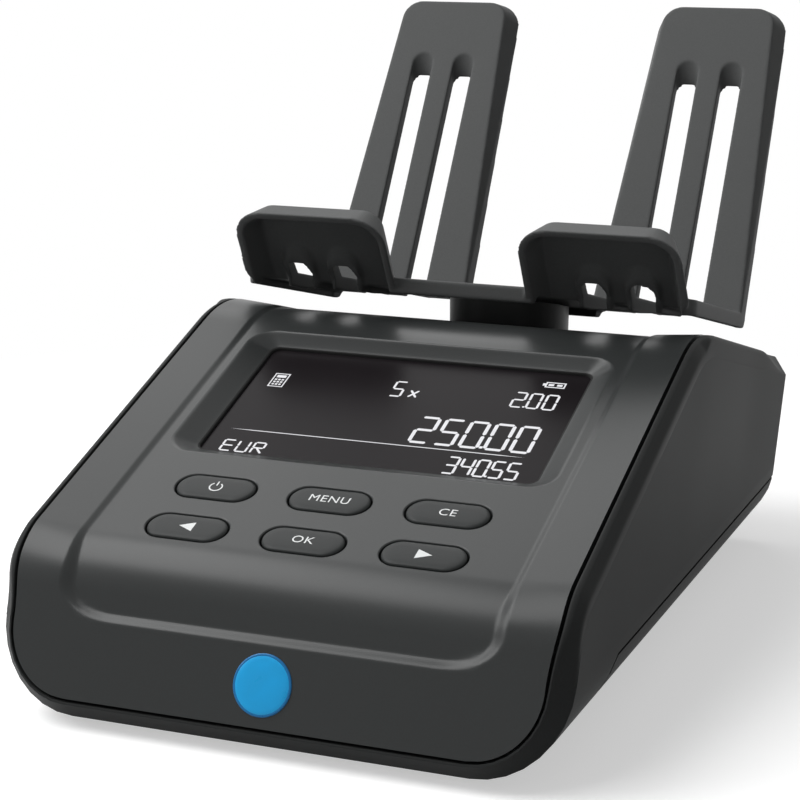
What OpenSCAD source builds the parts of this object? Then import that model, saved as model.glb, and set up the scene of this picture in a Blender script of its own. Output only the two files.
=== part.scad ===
// Counter-top money counting scale: a wedge-shaped housing with a sloped
// display and key panel, and a two-armed coin tray on a load cell.
// Millimetres. X runs across, Y from front to back, Z up from the table.
// Modules work in distances from the front foot of the housing; placed()
// then puts the origin under the middle of the whole object.

/* [Housing] */
// Width over the side walls
body_w = 138; // [132:1:146]
// Depth from the front foot to the rear top edge
body_l = 236; // [232:1:244]
// Height of the housing's underside above the table
ground_gap = 2; // [1.5:0.1:3]
// Lean of the front face from upright, degrees
front_lean = 20; // [16:1:24]
// Slope of the key and display panel, degrees
panel_slope = 20; // [18:0.5:22]
// Fall of the rear top, degrees
rear_slope = 14; // [12:0.5:16]
// Inward lean of the rear wall, degrees
rear_lean = 25; // [18:1:28]
// Distance of the ridge line from the front foot
ridge_s = 122; // [118:1:126]
// Height of the ridge before it is rounded
ridge_h = 79.1; // [76:0.5:82]
// Rounding of the edge between front face and panel
front_edge_r = 14; // [8:1:18]
// Rounding of the ridge
ridge_r = 40; // [20:1:60]
// Rounding of the rear top edge
rear_edge_r = 5; // [3:0.5:9]
// Rounding of the rear foot edge
rear_foot_r = 12; // [8:1:16]
// Rounding of the lower long edges
long_edge_r = 21; // [17:0.5:24]
// Rounding of the rear upright edges
rear_corner_r = 8; // [5:0.5:12]
// Wall of the housing and of the bottom cover
wall = 2.4; // [2:0.1:3]
// Bevelled band round the cover, measured across
band_w = 4.2; // [3.8:0.1:5]
// Bevelled band round the cover, measured down the side
band_d = 5.2; // [4:0.1:6.5]
// Height at which the bottom cover's seam runs along the side
split_z = 19; // [17:0.5:22]
// Distance from the front at which that seam starts
split_s = 47; // [45:1:50]
// Length over which the seam slants down at its front end
split_run = 11; // [8:1:14]

/* [Cover] */
// Width of the top cover
cover_w = 127.2; // [124:0.2:127.4]
// Wall of the top cover
cover_t = 2.2; // [1.8:0.1:2.6]
// Rounding of the cover's lower front corners
cover_corner_r = 15.6; // [14:0.1:16.5]
// Height of the cover's front edge above the underside
cover_foot = 5.4; // [5.2:0.1:6]
// Distance of the cover's rear edge from the rear top edge
cover_rear = 8; // [7:0.5:10]
// Open seam round the cover
seam_gap = 0.8; // [0.5:0.1:1]
// Width of the ledge that carries the cover
ledge_w = 2.5; // [2:0.1:3]
// Thickness of that ledge
ledge_t = 2; // [1.5:0.1:2.5]
// Width of the sunken middle of the cover
recess_w = 108; // [104:0.5:111]
// Depth of the sunken middle
recess_d = 1.5; // [1:0.1:1.8]
// Width of the soft step round it
recess_step = 4; // [2:0.5:5]
// Height of the step on the front face above the underside
recess_foot = 24; // [23:0.5:27]
// Rounding of the step's lower corners
recess_r = 9; // [6:0.5:12]
// Diameter of the round badge on the front face
badge_d = 14; // [10:0.5:15]
// Height of the badge's centre along the front face
badge_up = 15.2; // [14:0.1:16]

/* [Display] */
// Distance of the display's centre from the ridge line, down the slope
display_down = 41.5; // [40:0.5:43]
// Width of the display window
window_w = 88; // [80:0.5:90]
// Height of the display window
window_h = 49.6; // [44:0.2:51]
// Rounding of the window's corners
window_r = 2.5; // [1.5:0.1:4]
// Depth of the bevelled bezel
bezel_d = 3; // [2.4:0.1:3.4]
// Width of the bezel's bevel at the sides
bezel_w = 6; // [3:0.5:6.5]
// Width of the bezel's bevel at the top
bezel_top = 3.4; // [2.5:0.1:6]
// Width of the bezel's bevel at the foot
bezel_foot = 5.5; // [3:0.1:6]
// Thickness of the lens
lens_t = 1.5; // [1:0.1:2]
// Overlap of the lens behind the window's edge
lens_lap = 2; // [1.5:0.1:3]
// Thickness of the liquid crystal panel
lcd_t = 2.8; // [2:0.1:3.2]
// Thickness of the backlight
backlight_t = 2; // [1.5:0.1:3]
// Thickness of the circuit boards
board_t = 1.6; // [1:0.1:2]

/* [Keys] */
// Length of a key
key_l = 20; // [16:0.5:22]
// Width of a key
key_w = 9; // [7:0.5:10]
// Spacing of the key columns
key_pitch = 29.1; // [26:0.1:30]
// Distance of the upper key row from the display's centre
key_row = 43.6; // [42:0.1:44.5]
// Spacing of the key rows
key_row_gap = 16.2; // [14:0.1:17]
// Height of a key above the panel
key_proud = 0.9; // [0.7:0.1:1.5]
// Rounding of a key's top edge
key_edge_r = 0.6; // [0.3:0.1:0.8]
// Gap round a key
key_gap = 0.35; // [0.3:0.05:0.6]
// Travel of a key
key_travel = 1; // [0.6:0.1:1.2]

/* [Coin tray] */
// Distance of the tray's front rim from the front foot
tray_s = 130; // [128:0.5:132]
// Height of the tray floor's front rim above the housing's ridge line
tray_rise = 6.9; // [5:0.1:9]
// Fall of the tray floor towards the back, degrees
floor_slope = 13.1; // [10:0.1:15]
// Length of the tray floor along its slope
floor_l = 60; // [57:0.5:62]
// Depth of the rim under the tray floor
floor_rim = 4.3; // [3.6:0.1:4.6]
// Lean of the supports from upright, degrees
support_lean = 32.3; // [28:0.1:36]
// Length of a support along its lean
support_l = 96.8; // [85:0.2:102]
// Depth of a support's rim
support_d = 7; // [5:0.1:8]
// Inner edge of a support at its top
support_in = 25.3; // [23:0.1:28]
// Outer edge of a support at its top
support_out = 58; // [55:0.1:60]
// Rounding of a support's top corners
support_r = 5.6; // [4:0.1:10]
// Half width of the tray at the foot of the supports
tray_half = 63; // [61:0.1:65]
// Half width of the bridge between the arms, at the foot of the supports
bridge_half = 19.2; // [18:0.1:21]
// Outward draft of the rims, degrees
tray_draft = 23; // [15:1:26]
// Lean of the front lips, degrees
lip_lean = 30; // [20:1:35]
// Length of a front lip along its lean
lip_l = 23.3; // [20:0.1:26]
// Depth of a front lip's rim
lip_d = 8.9; // [8:0.1:10]
// Inner edge of a lip on its coin side
lip_in = 22; // [21:0.1:24]
// Outer edge of a lip on its coin side
lip_out = 58.6; // [57:0.1:59]
// Rounding of a lip's upper corners on its coin side
lip_r = 5; // [3:0.1:8]
// Rounding of a lip's lower outer corner
lip_foot_r = 5; // [3:0.1:7]
// Skin of the tray
tray_t = 2.2; // [1.6:0.1:2.6]
// Wall of the tray's rims
rim_t = 2; // [1.5:0.1:2.4]
// Width of a slot
slot_w = 6.3; // [5:0.1:7]
// Distance of the inner slot from the middle
slot_x = 35.2; // [34:0.1:37]
// Spacing of the two slots of an arm
slot_pitch = 13.2; // [11:0.1:14]
// Solid stretch of a support above its slots
slot_top = 18; // [13:0.5:26]
// Height of the slots' front ends up the lip
slot_lip = 6; // [4:0.5:9]
// Depth of the slots' collars behind the coin side
slot_d = 4; // [3:0.1:4.2]

/* [Weighing cell] */
// Distance of the post from the front foot
post_s = 172; // [170:0.5:173]
// Radius of the post
post_r = 17; // [16:0.1:18]
// Wall of the post's socket
post_wall = 2.9; // [2:0.1:3.5]
// Length of the load cell
cell_l = 80; // [76:1:84]
// Width and height of the load cell
cell_h = 13; // [12:0.5:15]
// Thickness of the spacer under the load cell
spacer_t = 6; // [4:0.5:8]
// Distance of a fixing hole from the load cell's end
cell_hole = 6; // [5:0.5:7]
// Spacing of the fixing holes at each end
cell_pitch = 12; // [10:0.5:13]
// Thickness of the spider plate
spider_t = 3.5; // [2.5:0.1:4]
// Gap between the spider plate and the load cell
spider_gap = 2.6; // [2:0.1:4]
// Gap between the load cell and its overload stop
stop_gap = 0.5; // [0.4:0.05:1]

/* [Batteries] */
// Diameter of a battery cell
aa_d = 14.2; // [13.5:0.1:14.5]
// Length of a battery cell
aa_l = 50.5; // [49:0.1:50.5]
// Spacing of the battery cells
aa_pitch = 15; // [14.6:0.1:16]
// Distance of the battery bay from the front foot
bay_s = 54; // [53:0.5:57]
// Room for a contact at each end of a battery cell
contact_room = 3.2; // [2.8:0.1:4]
// Thickness of the battery door
door_t = 2.6; // [2.4:0.1:3]
// Radius of the battery door's pivots
door_pin_r = 0.8; // [0.6:0.05:1]

/* [Rear sockets] */
// Height of the socket recess's lower edge
port_z = 24; // [23:0.5:27]
// Height of the socket recess
port_h = 14; // [12:0.5:15]
// Width of the socket recess
port_w = 40; // [36:0.5:44]
// Distance of the socket recess's centre from the right side wall
port_in = 39; // [37:0.5:41]
// Radius of the power inlet's hole
inlet_r = 3.1; // [2.6:0.1:3.4]
// Radius of the power inlet's centre pin
inlet_pin_r = 1; // [0.6:0.05:1.3]

/* [Feet and screws] */
// Radius of a rubber foot
foot_r = 6; // [5:0.1:7]
// Distance of the feet from the middle
foot_x = 41; // [38:0.5:41]
// Distance of the front feet from the front foot edge
foot_front = 22; // [20:0.5:24]
// Distance of the rear feet from the front foot edge
foot_rear = 196; // [192:0.5:198]
// Depth to which a foot is let into the underside
foot_sunk = 0.8; // [0.5:0.1:1.2]
// Radius of the housing screws
screw_r = 1.5; // [1.2:0.1:1.8]
// Radius of the load cell screws
cell_screw_r = 2; // [1.5:0.1:2.2]
// Clearance round a screw and between seated faces
fit_gap = 0.1; // [0.05:0.05:0.2]

/* [Hidden] */
$fn = 48;

// Steps in a rounded corner, and a length that reaches past everything
arc_steps = 8;
far = 400;

// Points and lines in a plane
function along(a) = [cos(a), sin(a)];
function unit(v) = v / norm(v);
function meet(p, a, q, b) =
    let (d = along(a), e = along(b), k = (q - p) * [e.y, -e.x] / (d * [e.y, -e.x])) p + k * d;
function turn(a) = a > 180 ? a - 360 : a < -180 ? a + 360 : a;
function corner(p, q, s, r) =
    let (u = unit(p - q), v = unit(s - q), half = acos(u * v) / 2, c = q + unit(u + v) * r / sin(half),
         first = q + u * r / tan(half) - c, last = q + v * r / tan(half) - c,
         a = atan2(first.y, first.x), sweep = turn(atan2(last.y, last.x) - a))
    [for (i = [0:arc_steps]) c + r * along(a + sweep * i / arc_steps)];
function rounded(pts, radii) =
    let (n = len(pts))
    [for (i = [0:n - 1])
        each radii[i] > 0 ? corner(pts[(i + n - 1) % n], pts[i], pts[(i + 1) % n], radii[i]) : [pts[i]]];

// Side profile of the housing, each line moved inwards by its own inset
rear_top_z = ridge_h - (body_l - ridge_s) * tan(rear_slope);
profile_lines = [[[0, ground_gap], 90 - front_lean], [[ridge_s, ridge_h], panel_slope],
                 [[ridge_s, ridge_h], -rear_slope], [[body_l, rear_top_z], -90 - rear_lean],
                 [[0, ground_gap], 180]];
profile_r = [front_edge_r, ridge_r, rear_edge_r, rear_foot_r, 0];
function moved(line, d) = line[0] + d * along(line[1] - 90);
function profile(d) =
    let (n = len(profile_lines),
         pts = [for (i = [0:n - 1]) let (j = (i + 1) % n)
                meet(moved(profile_lines[i], d[i]), profile_lines[i][1],
                     moved(profile_lines[j], d[j]), profile_lines[j][1])],
         radii = [for (i = [0:n - 1]) profile_r[i] == 0 ? 0
                  : max(0.5, profile_r[i] - max(d[i], d[(i + 1) % n]))])
    rounded(pts, radii);
// Front, panel and rear top only, for what lies under the outer skin
past = 20;
function skin(d) = profile([d, d, d, -past, -past]);
function rear_s(z) = body_l - (rear_top_z - z) * tan(rear_lean);

// Panel frame: origin at the display's centre on the sunken panel
panel_s = ridge_s - display_down * cos(panel_slope) + recess_d * sin(panel_slope);
panel_z = ridge_h - display_down * sin(panel_slope) - recess_d * cos(panel_slope);
lens_top = bezel_d + 0.7;
lens_w = window_w + 2 * lens_lap;
lens_h = window_h + 2 * lens_lap;
lcd_top = lens_top + lens_t;
backlight_top = lcd_top + lcd_t;
board_top = backlight_top + backlight_t;
board_under = board_top + board_t;
board_half = 54;
board_up = window_h / 2 + 10;
board_low = key_row + key_row_gap + 11;
board_hole_x = 50;
board_holes = [for (v = [board_up - 5, 5 - board_low]) for (u = [-1, 1]) [u * board_hole_x, v]];
key_places = [for (row = [0, 1]) for (col = [-1, 0, 1]) [col * key_pitch, -key_row - row * key_row_gap]];
key_flange = 1;
key_flange_top = cover_t + 0.4;
key_stem = key_flange_top + key_flange + 2.4;
mat_t = 1;
dome_top = key_stem + fit_gap;

// Tray outline in side view: coin side a, rim side b
tray_z = ridge_h + tray_rise;
tray_front = [tray_s, tray_z];
lip_set = 9.9;
flare = tan(tray_draft);
floor_dir = along(-floor_slope);
support_dir = along(90 - support_lean);
lip_dir = along(90 + lip_lean);
tray_foot = tray_front + floor_dir * floor_l;
tray_top = tray_foot + support_dir * support_l;
lip_out_dir = along(180 + lip_lean);
lip_foot = tray_front + floor_dir * lip_set;
lip_top = lip_foot + lip_dir * lip_l;
rim_drop = [0, -floor_rim];
support_back = along(-support_lean) * support_d;
foot_back = meet(tray_front + rim_drop, -floor_slope, tray_foot + support_back, 90 - support_lean);
tray_rear_s = (tray_top + support_back + support_dir * support_d * flare).x;
// Height along the lip's plane at which a point set out from it meets the rims' lower line
function lip_low(out) =
    let (p = lip_foot + lip_out_dir * out,
         q = meet(p, 90 + lip_lean, tray_front + rim_drop, -floor_slope)) (q - p) * lip_dir;
slots = [slot_x, slot_x + slot_pitch];
socket_r = post_r - post_wall;
socket_gap = 0.3;
function floor_at(s) = tray_z - (s - tray_s) * tan(floor_slope);

// Middle of the whole object, front to back
front_reach = band_w * tan(front_lean);
mid_s = (front_reach + tray_rear_s) / 2;

// Heights inside the housing
floor_in = ground_gap + wall;
cell_z = floor_in + spacer_t;
cell_top = cell_z + cell_h;
spider_z = cell_top + spider_gap;
post_z = spider_z + spider_t;
cell_mid = post_s - 5;
cell_front = cell_mid - cell_l / 2;
cell_rear = cell_mid + cell_l / 2;
fixed_holes = [cell_front + cell_hole, cell_front + cell_hole + cell_pitch];
free_holes = [cell_rear - cell_hole, cell_rear - cell_hole - cell_pitch];
free_pad = cell_hole + cell_pitch + 5;
collar_z = floor_at(post_s + post_r) - 9;
socket_z = collar_z - 4;
post_screw_x = cell_h / 2 + 4.5;
head_r = 1.75;
head_h = 0.65;

// Battery bay and its door
aa_count = 4;
bay_w = aa_count * aa_pitch + 1;
bay_l = aa_l + 2 * contact_room + 0.2;
bay_frame = 2;
aa_z = ground_gap + door_t + 0.5 + aa_d / 2;
bay_top = aa_z + aa_d / 2 + 0.8;
door_lap = 2;
door_gap = 0.3;
door_pin_l = 2;
door_axis = [bay_s - door_lap + door_t / 2, ground_gap + door_t / 2];
door_end = bay_s + bay_l + door_lap;
tongue_half = 8;
tongue_l = 11;

// Sockets at the rear
port_s = rear_s(port_z) - 0.6;
port_axis = port_z + port_h / 2;
port_x = body_w / 2 - port_in;
inlet_x = port_x - 9;
inlet_half = 4.5;
inlet_l = 12;
phone_x = port_x + 9;
phone_w = 13.5;
phone_h = 11;
phone_l = 15;
port_board_z = port_axis - phone_h / 2 - board_t;
port_board_w = port_w - 4;
port_board_l = 17.5;
port_board_s = port_s - wall - 0.5 - port_board_l;
pillar_x = port_board_w / 3;

// Screws through the bottom cover
boss_r = 4;
boss_top = split_z + 3.5 * boss_r;
thread_l = 12;
housing_screw_x = body_w / 2 - long_edge_r - boss_r;
housing_screw_s = [split_s + 13, foot_rear - 3 * foot_r];
housing_screws_at = [for (s = housing_screw_s) for (x = [-1, 1]) [x * housing_screw_x, s]];

module placed() {
    translate([0, -mid_s, 0]) children();
}

module along_x(w) {
    rotate([90, 0, 90]) linear_extrude(height = w, center = true) children();
}

module along_y() {
    rotate([90, 0, 0]) linear_extrude(height = 4 * far, center = true) children();
}

module on_panel(u = 0, v = 0, n = 0) {
    translate([0, panel_s, panel_z]) rotate([panel_slope, 0, 0]) translate([u, v, n]) children();
}

module on_front_face(up, out) {
    translate([0, 0, ground_gap]) rotate([90 - front_lean, 0, 0]) translate([0, up, out]) children();
}

// Plain outlines
module round_rect(w, h, r) {
    square([w - 2 * r, h], center = true);
    square([w, h - 2 * r], center = true);
    for (x = [-1, 1])
        for (y = [-1, 1])
            translate([x * (w / 2 - r), y * (h / 2 - r)]) circle(r);
}

module stadium(l, w) {
    square([l - w, w], center = true);
    for (x = [-1, 1])
        translate([x * (l - w) / 2, 0]) circle(d = w);
}

module front_outline(half, foot, r) {
    polygon(rounded([[-half, far], [-half, foot], [half, foot], [half, far]], [0, r, r, 0]));
}

// Prism that rounds the upright rear edges, along the lean of the rear wall
module rear_prism(inset) {
    half = body_w / 2 - inset;
    r = max(0.5, rear_corner_r - inset);
    translate([0, body_l, rear_top_z])
        rotate([-rear_lean, 0, 0])
            linear_extrude(height = 2 * far, center = true)
                polygon(rounded([[-half, -far], [half, -far], [half, -inset], [-half, -inset]],
                                [0, 0, r, r]));
}

// Outer shape of the whole housing, with the bevelled band round the cover
module housing_block() {
    hull() {
        intersection() {
            along_x(body_w - 2 * band_w) polygon(profile([0, 0, 0, 0, 0]));
            along_y() front_outline(body_w / 2 - band_w, ground_gap + band_w, long_edge_r - band_w);
            rear_prism(0);
        }
        intersection() {
            along_x(body_w) polygon(profile([band_d, band_d, band_d, 0, 0]));
            along_y() front_outline(body_w / 2, ground_gap, long_edge_r);
            rear_prism(0);
        }
    }
}

// Room inside the housing, kept below the cover by the given depth
module housing_room(depth) {
    intersection() {
        along_x(body_w - 2 * wall) polygon(profile([depth, depth, depth, wall, wall]));
        along_y() front_outline(body_w / 2 - wall, ground_gap + wall, long_edge_r - wall);
        rear_prism(wall);
    }
}

// Region under the bottom cover's seam, grown by a gap
module lower_region(gap) {
    along_x(2 * body_w)
        polygon([[split_s - split_run - gap, ground_gap], [split_s - gap, split_z + gap],
                 [far, split_z + gap], [far, -past], [split_s - split_run - gap, -past]]);
}

// Column over the top cover's outline, grown by a margin
module cover_column(margin) {
    half = cover_w / 2 + margin;
    rear = body_l - cover_rear + margin;
    r = max(0.5, rear_corner_r - 2 + margin);
    intersection() {
        along_y() front_outline(half, ground_gap + cover_foot - margin, cover_corner_r + margin);
        linear_extrude(height = far)
            polygon(rounded([[-half, -past], [half, -past], [half, rear], [-half, rear]], [0, 0, r, r]));
    }
}

// Layer of the outer skin between two depths
module skin_layer(top, depth) {
    along_x(2 * body_w) difference() {
        polygon(skin(top));
        polygon(skin(depth));
    }
}

module base_housing() color("#343536") placed() {
    ledge_top = cover_t + fit_gap;
    difference() {
        union() {
            difference() {
                housing_block();
                housing_room(ledge_top + ledge_t);
                intersection() {
                    skin_layer(-past / 4, ledge_top);
                    cover_column(seam_gap);
                }
                intersection() {
                    skin_layer(-past / 4, ledge_top + ledge_t + 0.5);
                    cover_column(-ledge_w);
                }
                lower_region(seam_gap / 2);
            }
            // Walls of the socket recess
            intersection() {
                housing_block();
                translate([port_x - port_w / 2 - wall, port_s - wall, port_z - wall])
                    cube([port_w + 2 * wall, far, port_h + 2 * wall]);
            }
            // Screw bosses, each on a web to its side wall
            for (p = housing_screws_at) {
                translate([p.x, p.y, floor_in]) cylinder(r = boss_r, h = boss_top - floor_in);
                side = sign(p.x);
                web_z = split_z + seam_gap;
                intersection() {
                    housing_block();
                    translate([side > 0 ? p.x : -body_w / 2 + wall / 2, p.y - wall / 2, web_z])
                        cube([body_w / 2 - wall / 2 - abs(p.x), wall, boss_top - web_z]);
                }
            }
        }
        // Socket recess and the holes for the two sockets
        translate([port_x - port_w / 2, port_s, port_z]) cube([port_w, far, port_h]);
        translate([inlet_x, port_s, port_axis])
            rotate([90, 0, 0]) cylinder(r = inlet_half + fit_gap, h = 2 * wall, center = true);
        translate([phone_x, port_s, port_axis])
            cube([phone_w + 2 * fit_gap, 3 * wall, phone_h + 2 * fit_gap], center = true);
        for (p = housing_screws_at)
            translate([p.x, p.y, 0]) cylinder(r = screw_r + fit_gap, h = boss_top - 2);
        for (x = [-1, 1])
            foot_hole(x * foot_x, foot_front);
    }
}

module foot_hole(x, s) {
    translate([x, s, ground_gap - 1]) cylinder(r = foot_r + fit_gap, h = foot_sunk + 1);
}

module bottom_cover() color("#2b2c2d") placed() {
    difference() {
        union() {
            intersection() {
                difference() {
                    intersection() {
                        along_x(body_w) polygon(profile([0, 0, 0, 0, 0]));
                        along_y() front_outline(body_w / 2, ground_gap, long_edge_r);
                        rear_prism(0);
                    }
                    housing_room(wall);
                }
                lower_region(-seam_gap / 2);
            }
            // Walls of the battery bay and the frame round its door
            translate([-bay_w / 2 - wall, bay_s - wall, ground_gap])
                cube([bay_w + 2 * wall, bay_l + 2 * wall, bay_top - ground_gap + wall]);
            translate([-bay_w / 2 - 3 * wall, bay_s - 3 * wall, ground_gap])
                cube([bay_w + 6 * wall, bay_l + 6 * wall, door_t + bay_frame]);
            // Pillars under the rear socket board
            for (x = [-1, 1])
                translate([port_x + x * pillar_x, port_board_s + port_board_l * 0.4, floor_in - 1])
                    cylinder(r = 3, h = port_board_z - floor_in + 1);
        }
        // Battery bay, open below, and the rebate for the door with its pivot holes
        translate([-bay_w / 2, bay_s, 0]) cube([bay_w, bay_l, bay_top]);
        translate([-bay_w / 2 - door_lap - door_gap, bay_s - door_lap - door_gap, 0])
            cube([bay_w + 2 * (door_lap + door_gap), bay_l + 2 * (door_lap + door_gap),
                  ground_gap + door_t + door_gap]);
        translate([0, door_axis.x, door_axis.y])
            rotate([0, 90, 0])
                cylinder(r = door_pin_r + fit_gap / 2,
                         h = bay_w + 2 * (door_lap + door_pin_l + 2 * door_gap), center = true);
        // Holes for the screws, and room for their bosses where the frame comes near them
        for (p = housing_screws_at) {
            screw_hole(p.x, p.y, screw_r);
            translate([p.x, p.y, floor_in]) cylinder(r = boss_r + fit_gap, h = bay_top);
        }
        for (s = fixed_holes)
            screw_hole(0, s, cell_screw_r);
        for (x = [-1, 1])
            foot_hole(x * foot_x, foot_rear);
    }
}

// Clearance hole with a sunk head, from below
module screw_hole(x, s, r) {
    translate([x, s, 0]) cylinder(r = r + fit_gap, h = floor_in + 1);
    translate([x, s, 0]) cylinder(r = r * head_r + fit_gap, h = ground_gap + wall / 2);
}

// Pan screw standing on its head, with the thread up
module screw_up(r, seat, reach) {
    translate([0, 0, seat - 2 * r * head_h]) cylinder(r = r * head_r, h = 2 * r * head_h);
    translate([0, 0, seat - r]) cylinder(r = r, h = reach + r);
}

module top_cover() color("#5c5e5d") placed() {
    steps = 4;
    difference() {
        union() {
            intersection() {
                skin_layer(0, cover_t);
                cover_column(0);
            }
            intersection() {
                skin_layer(recess_d, recess_d + cover_t);
                recess_column(-cover_t);
                cover_column(-ledge_w - seam_gap);
            }
            // Well behind the display window
            on_panel(0, 0, -lcd_top)
                linear_extrude(height = lcd_top - cover_t / 2)
                    round_rect(lens_w + 8, lens_h + 8, window_r + 2);
            // Board pillars
            for (p = board_holes)
                on_panel(p.x, p.y, -board_top) cylinder(r = 3.2, h = board_top - cover_t / 2);
            // Snap hooks that catch under the housing's ledge
            for (side = [-1, 1])
                for (v = [-45, -8, 26])
                    snap_hook(side, v);
        }
        // Sunken middle, its soft step cut in thin layers
        for (k = [1:steps])
            intersection() {
                skin_layer(-past / 4, recess_d * k / steps);
                recess_column(recess_step * (k - 1) / steps);
            }
        // Display window with its bevel, and the seat of the lens from behind
        on_panel() hull() {
            translate([0, (bezel_top - bezel_foot) / 2, 0])
                linear_extrude(height = 0.01)
                    round_rect(window_w + 2 * bezel_w, window_h + bezel_top + bezel_foot,
                               window_r + bezel_foot);
            translate([0, 0, -bezel_d])
                linear_extrude(height = 0.01) round_rect(window_w, window_h, window_r);
        }
        on_panel(0, 0, -lcd_top) linear_extrude(height = lcd_top) round_rect(window_w, window_h, window_r);
        on_panel(0, 0, -lcd_top - 1)
            linear_extrude(height = lens_t + 1)
                round_rect(lens_w + 2 * fit_gap, lens_h + 2 * fit_gap, window_r + fit_gap);
        for (p = key_places)
            on_panel(p.x, p.y, -2 * cover_t)
                linear_extrude(height = 3 * cover_t) stadium(key_l + 2 * key_gap, key_w + 2 * key_gap);
        for (p = board_holes)
            on_panel(p.x, p.y, -board_top - 1) cylinder(r = 1.25 + fit_gap, h = board_top - cover_t);
        on_front_face(badge_up, -0.8) cylinder(r = badge_d / 2 + fit_gap, h = 2);
        // Hole for the post
        translate([0, post_s, 0]) cylinder(r = post_r + 1.5, h = far);
    }
}

module recess_column(inset) {
    along_y() front_outline(recess_w / 2 - inset, ground_gap + recess_foot + inset, recess_r - inset / 2);
}

module snap_hook(side, v) {
    edge = cover_w / 2 - ledge_w - 0.3;
    under = recess_d - cover_t;
    barb = under - fit_gap - ledge_t - 0.2;
    on_panel(side * (edge - 0.8), v, (under + barb - 1.6) / 2 + 0.2)
        cube([1.6, 8, under - barb + 1.6 + 0.4], center = true);
    on_panel(side * (edge + 0.3), v, barb - 0.8) cube([2.2, 8, 1.6], center = true);
}

module badge() color("#0a74b4") placed() {
    on_front_face(badge_up, -0.8 + fit_gap) {
        cylinder(d = badge_d, h = 0.9);
        translate([0, 0, 0.9]) cylinder(d1 = badge_d, d2 = badge_d - 1.2, h = 0.3);
    }
}

module display_lens() color("#161417") placed() {
    on_panel(0, 0, -lcd_top) linear_extrude(height = lens_t) round_rect(lens_w, lens_h, window_r);
}

module lcd_panel() color("#2a2628") placed() {
    on_panel(0, 0, -backlight_top)
        linear_extrude(height = lcd_t) square([lens_w + 3, lens_h + 2], center = true);
}

module backlight() color("#e8eef2") placed() {
    on_panel(0, 0, -board_top)
        linear_extrude(height = backlight_t) square([lens_w, lens_h], center = true);
}

module main_board() color("#1f6b3a") placed() {
    mid_v = (board_up - board_low) / 2;
    difference() {
        union() {
            on_panel(0, mid_v, -board_under)
                linear_extrude(height = board_t)
                    square([2 * board_half, board_up + board_low], center = true);
            // Chips on the back of the board
            for (c = [[0, -12, 14, 14], [26, -14, 9, 6], [10, 14, 10, 8]])
                on_panel(c[0], c[1], -board_under - 1.4)
                    linear_extrude(height = 1.6) square([c[2], c[3]], center = true);
        }
        for (p = board_holes)
            on_panel(p.x, p.y, -board_under - 1) cylinder(r = 1.25 + fit_gap, h = board_t + 2);
    }
}

module buzzer() color("#151515") placed() {
    on_panel(-34, 12, -board_under - 5) difference() {
        cylinder(r = 6, h = 5);
        translate([0, 0, -1]) cylinder(r = 1, h = 2);
    }
}

module keypad_mat() color("#8a8d8c") placed() {
    mat_w = 2 * key_pitch + key_l + 4;
    mat_h = key_row_gap + key_w + 6;
    on_panel(0, -key_row - key_row_gap / 2, -board_top)
        linear_extrude(height = mat_t) square([mat_w, mat_h], center = true);
    for (p = key_places)
        on_panel(p.x, p.y, -board_top + mat_t / 2)
            cylinder(r1 = 4, r2 = 2.6, h = board_top - mat_t / 2 - dome_top);
}

// One key: a stadium with a rounded top, a flange under the panel and a stem
module key(p) {
    half = key_w / 2;
    side = [for (i = [0:arc_steps]) [half - key_edge_r, key_proud - key_edge_r]
            + key_edge_r * along(90 - 90 * i / arc_steps)];
    foot = -key_flange_top - key_flange;
    cut = concat(side, [[half, -key_flange_top], [half + 1, -key_flange_top], [half + 1, foot]]);
    mirrored = [for (i = [len(cut) - 1:-1:0]) [-cut[i].x, cut[i].y]];
    on_panel(p.x, p.y, 0) {
        rotate([90, 0, 90])
            linear_extrude(height = key_l - key_w, center = true) polygon(concat(cut, mirrored));
        for (x = [-1, 1])
            translate([x * (key_l - key_w) / 2, 0, 0])
                rotate_extrude() polygon(concat([[0, foot], [0, key_proud]], cut));
        translate([0, 0, -key_stem]) cylinder(r = 2.5, h = key_stem + foot + 0.5);
    }
}

module key_power() color("#565857") placed() key(key_places[0]);
module key_menu() color("#565857") placed() key(key_places[1]);
module key_clear() color("#565857") placed() key(key_places[2]);
module key_left() color("#565857") placed() key(key_places[3]);
module key_ok() color("#565857") placed() key(key_places[4]);
module key_right() color("#565857") placed() key(key_places[5]);

module board_screws() color("silver") placed() {
    for (p = board_holes)
        on_panel(p.x, p.y, -board_under) screw_up(1.25, 0, board_t + 4);
}

// Bending beam with two joined holes at its middle
module load_cell() color("#c9ccd0") placed() {
    bend = 9;
    hole = cell_h * 0.36;
    difference() {
        translate([-cell_h / 2, cell_front, cell_z]) cube([cell_h, cell_l, cell_h]);
        translate([0, cell_mid, cell_z + cell_h / 2]) {
            for (y = [-bend, bend])
                translate([0, y, 0]) rotate([0, 90, 0]) cylinder(r = hole, h = 2 * cell_h, center = true);
            cube([2 * cell_h, 2 * bend, hole], center = true);
        }
        for (s = concat(free_holes, fixed_holes))
            translate([0, s, cell_z - 1]) cylinder(r = cell_screw_r + fit_gap, h = cell_h + 2);
    }
}

module load_cell_spacer() color("#8f9397") placed() {
    l = cell_hole + cell_pitch + 6;
    difference() {
        translate([-cell_h / 2, cell_front, floor_in]) cube([cell_h, l, spacer_t]);
        for (s = fixed_holes)
            translate([0, s, 0]) cylinder(r = cell_screw_r + fit_gap, h = cell_z + 1);
    }
}

module load_cell_screws() color("silver") placed() {
    for (s = fixed_holes)
        translate([0, s, 0])
            screw_up(cell_screw_r, ground_gap + wall / 2, wall / 2 + spacer_t + cell_h * 0.8);
}

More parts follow.
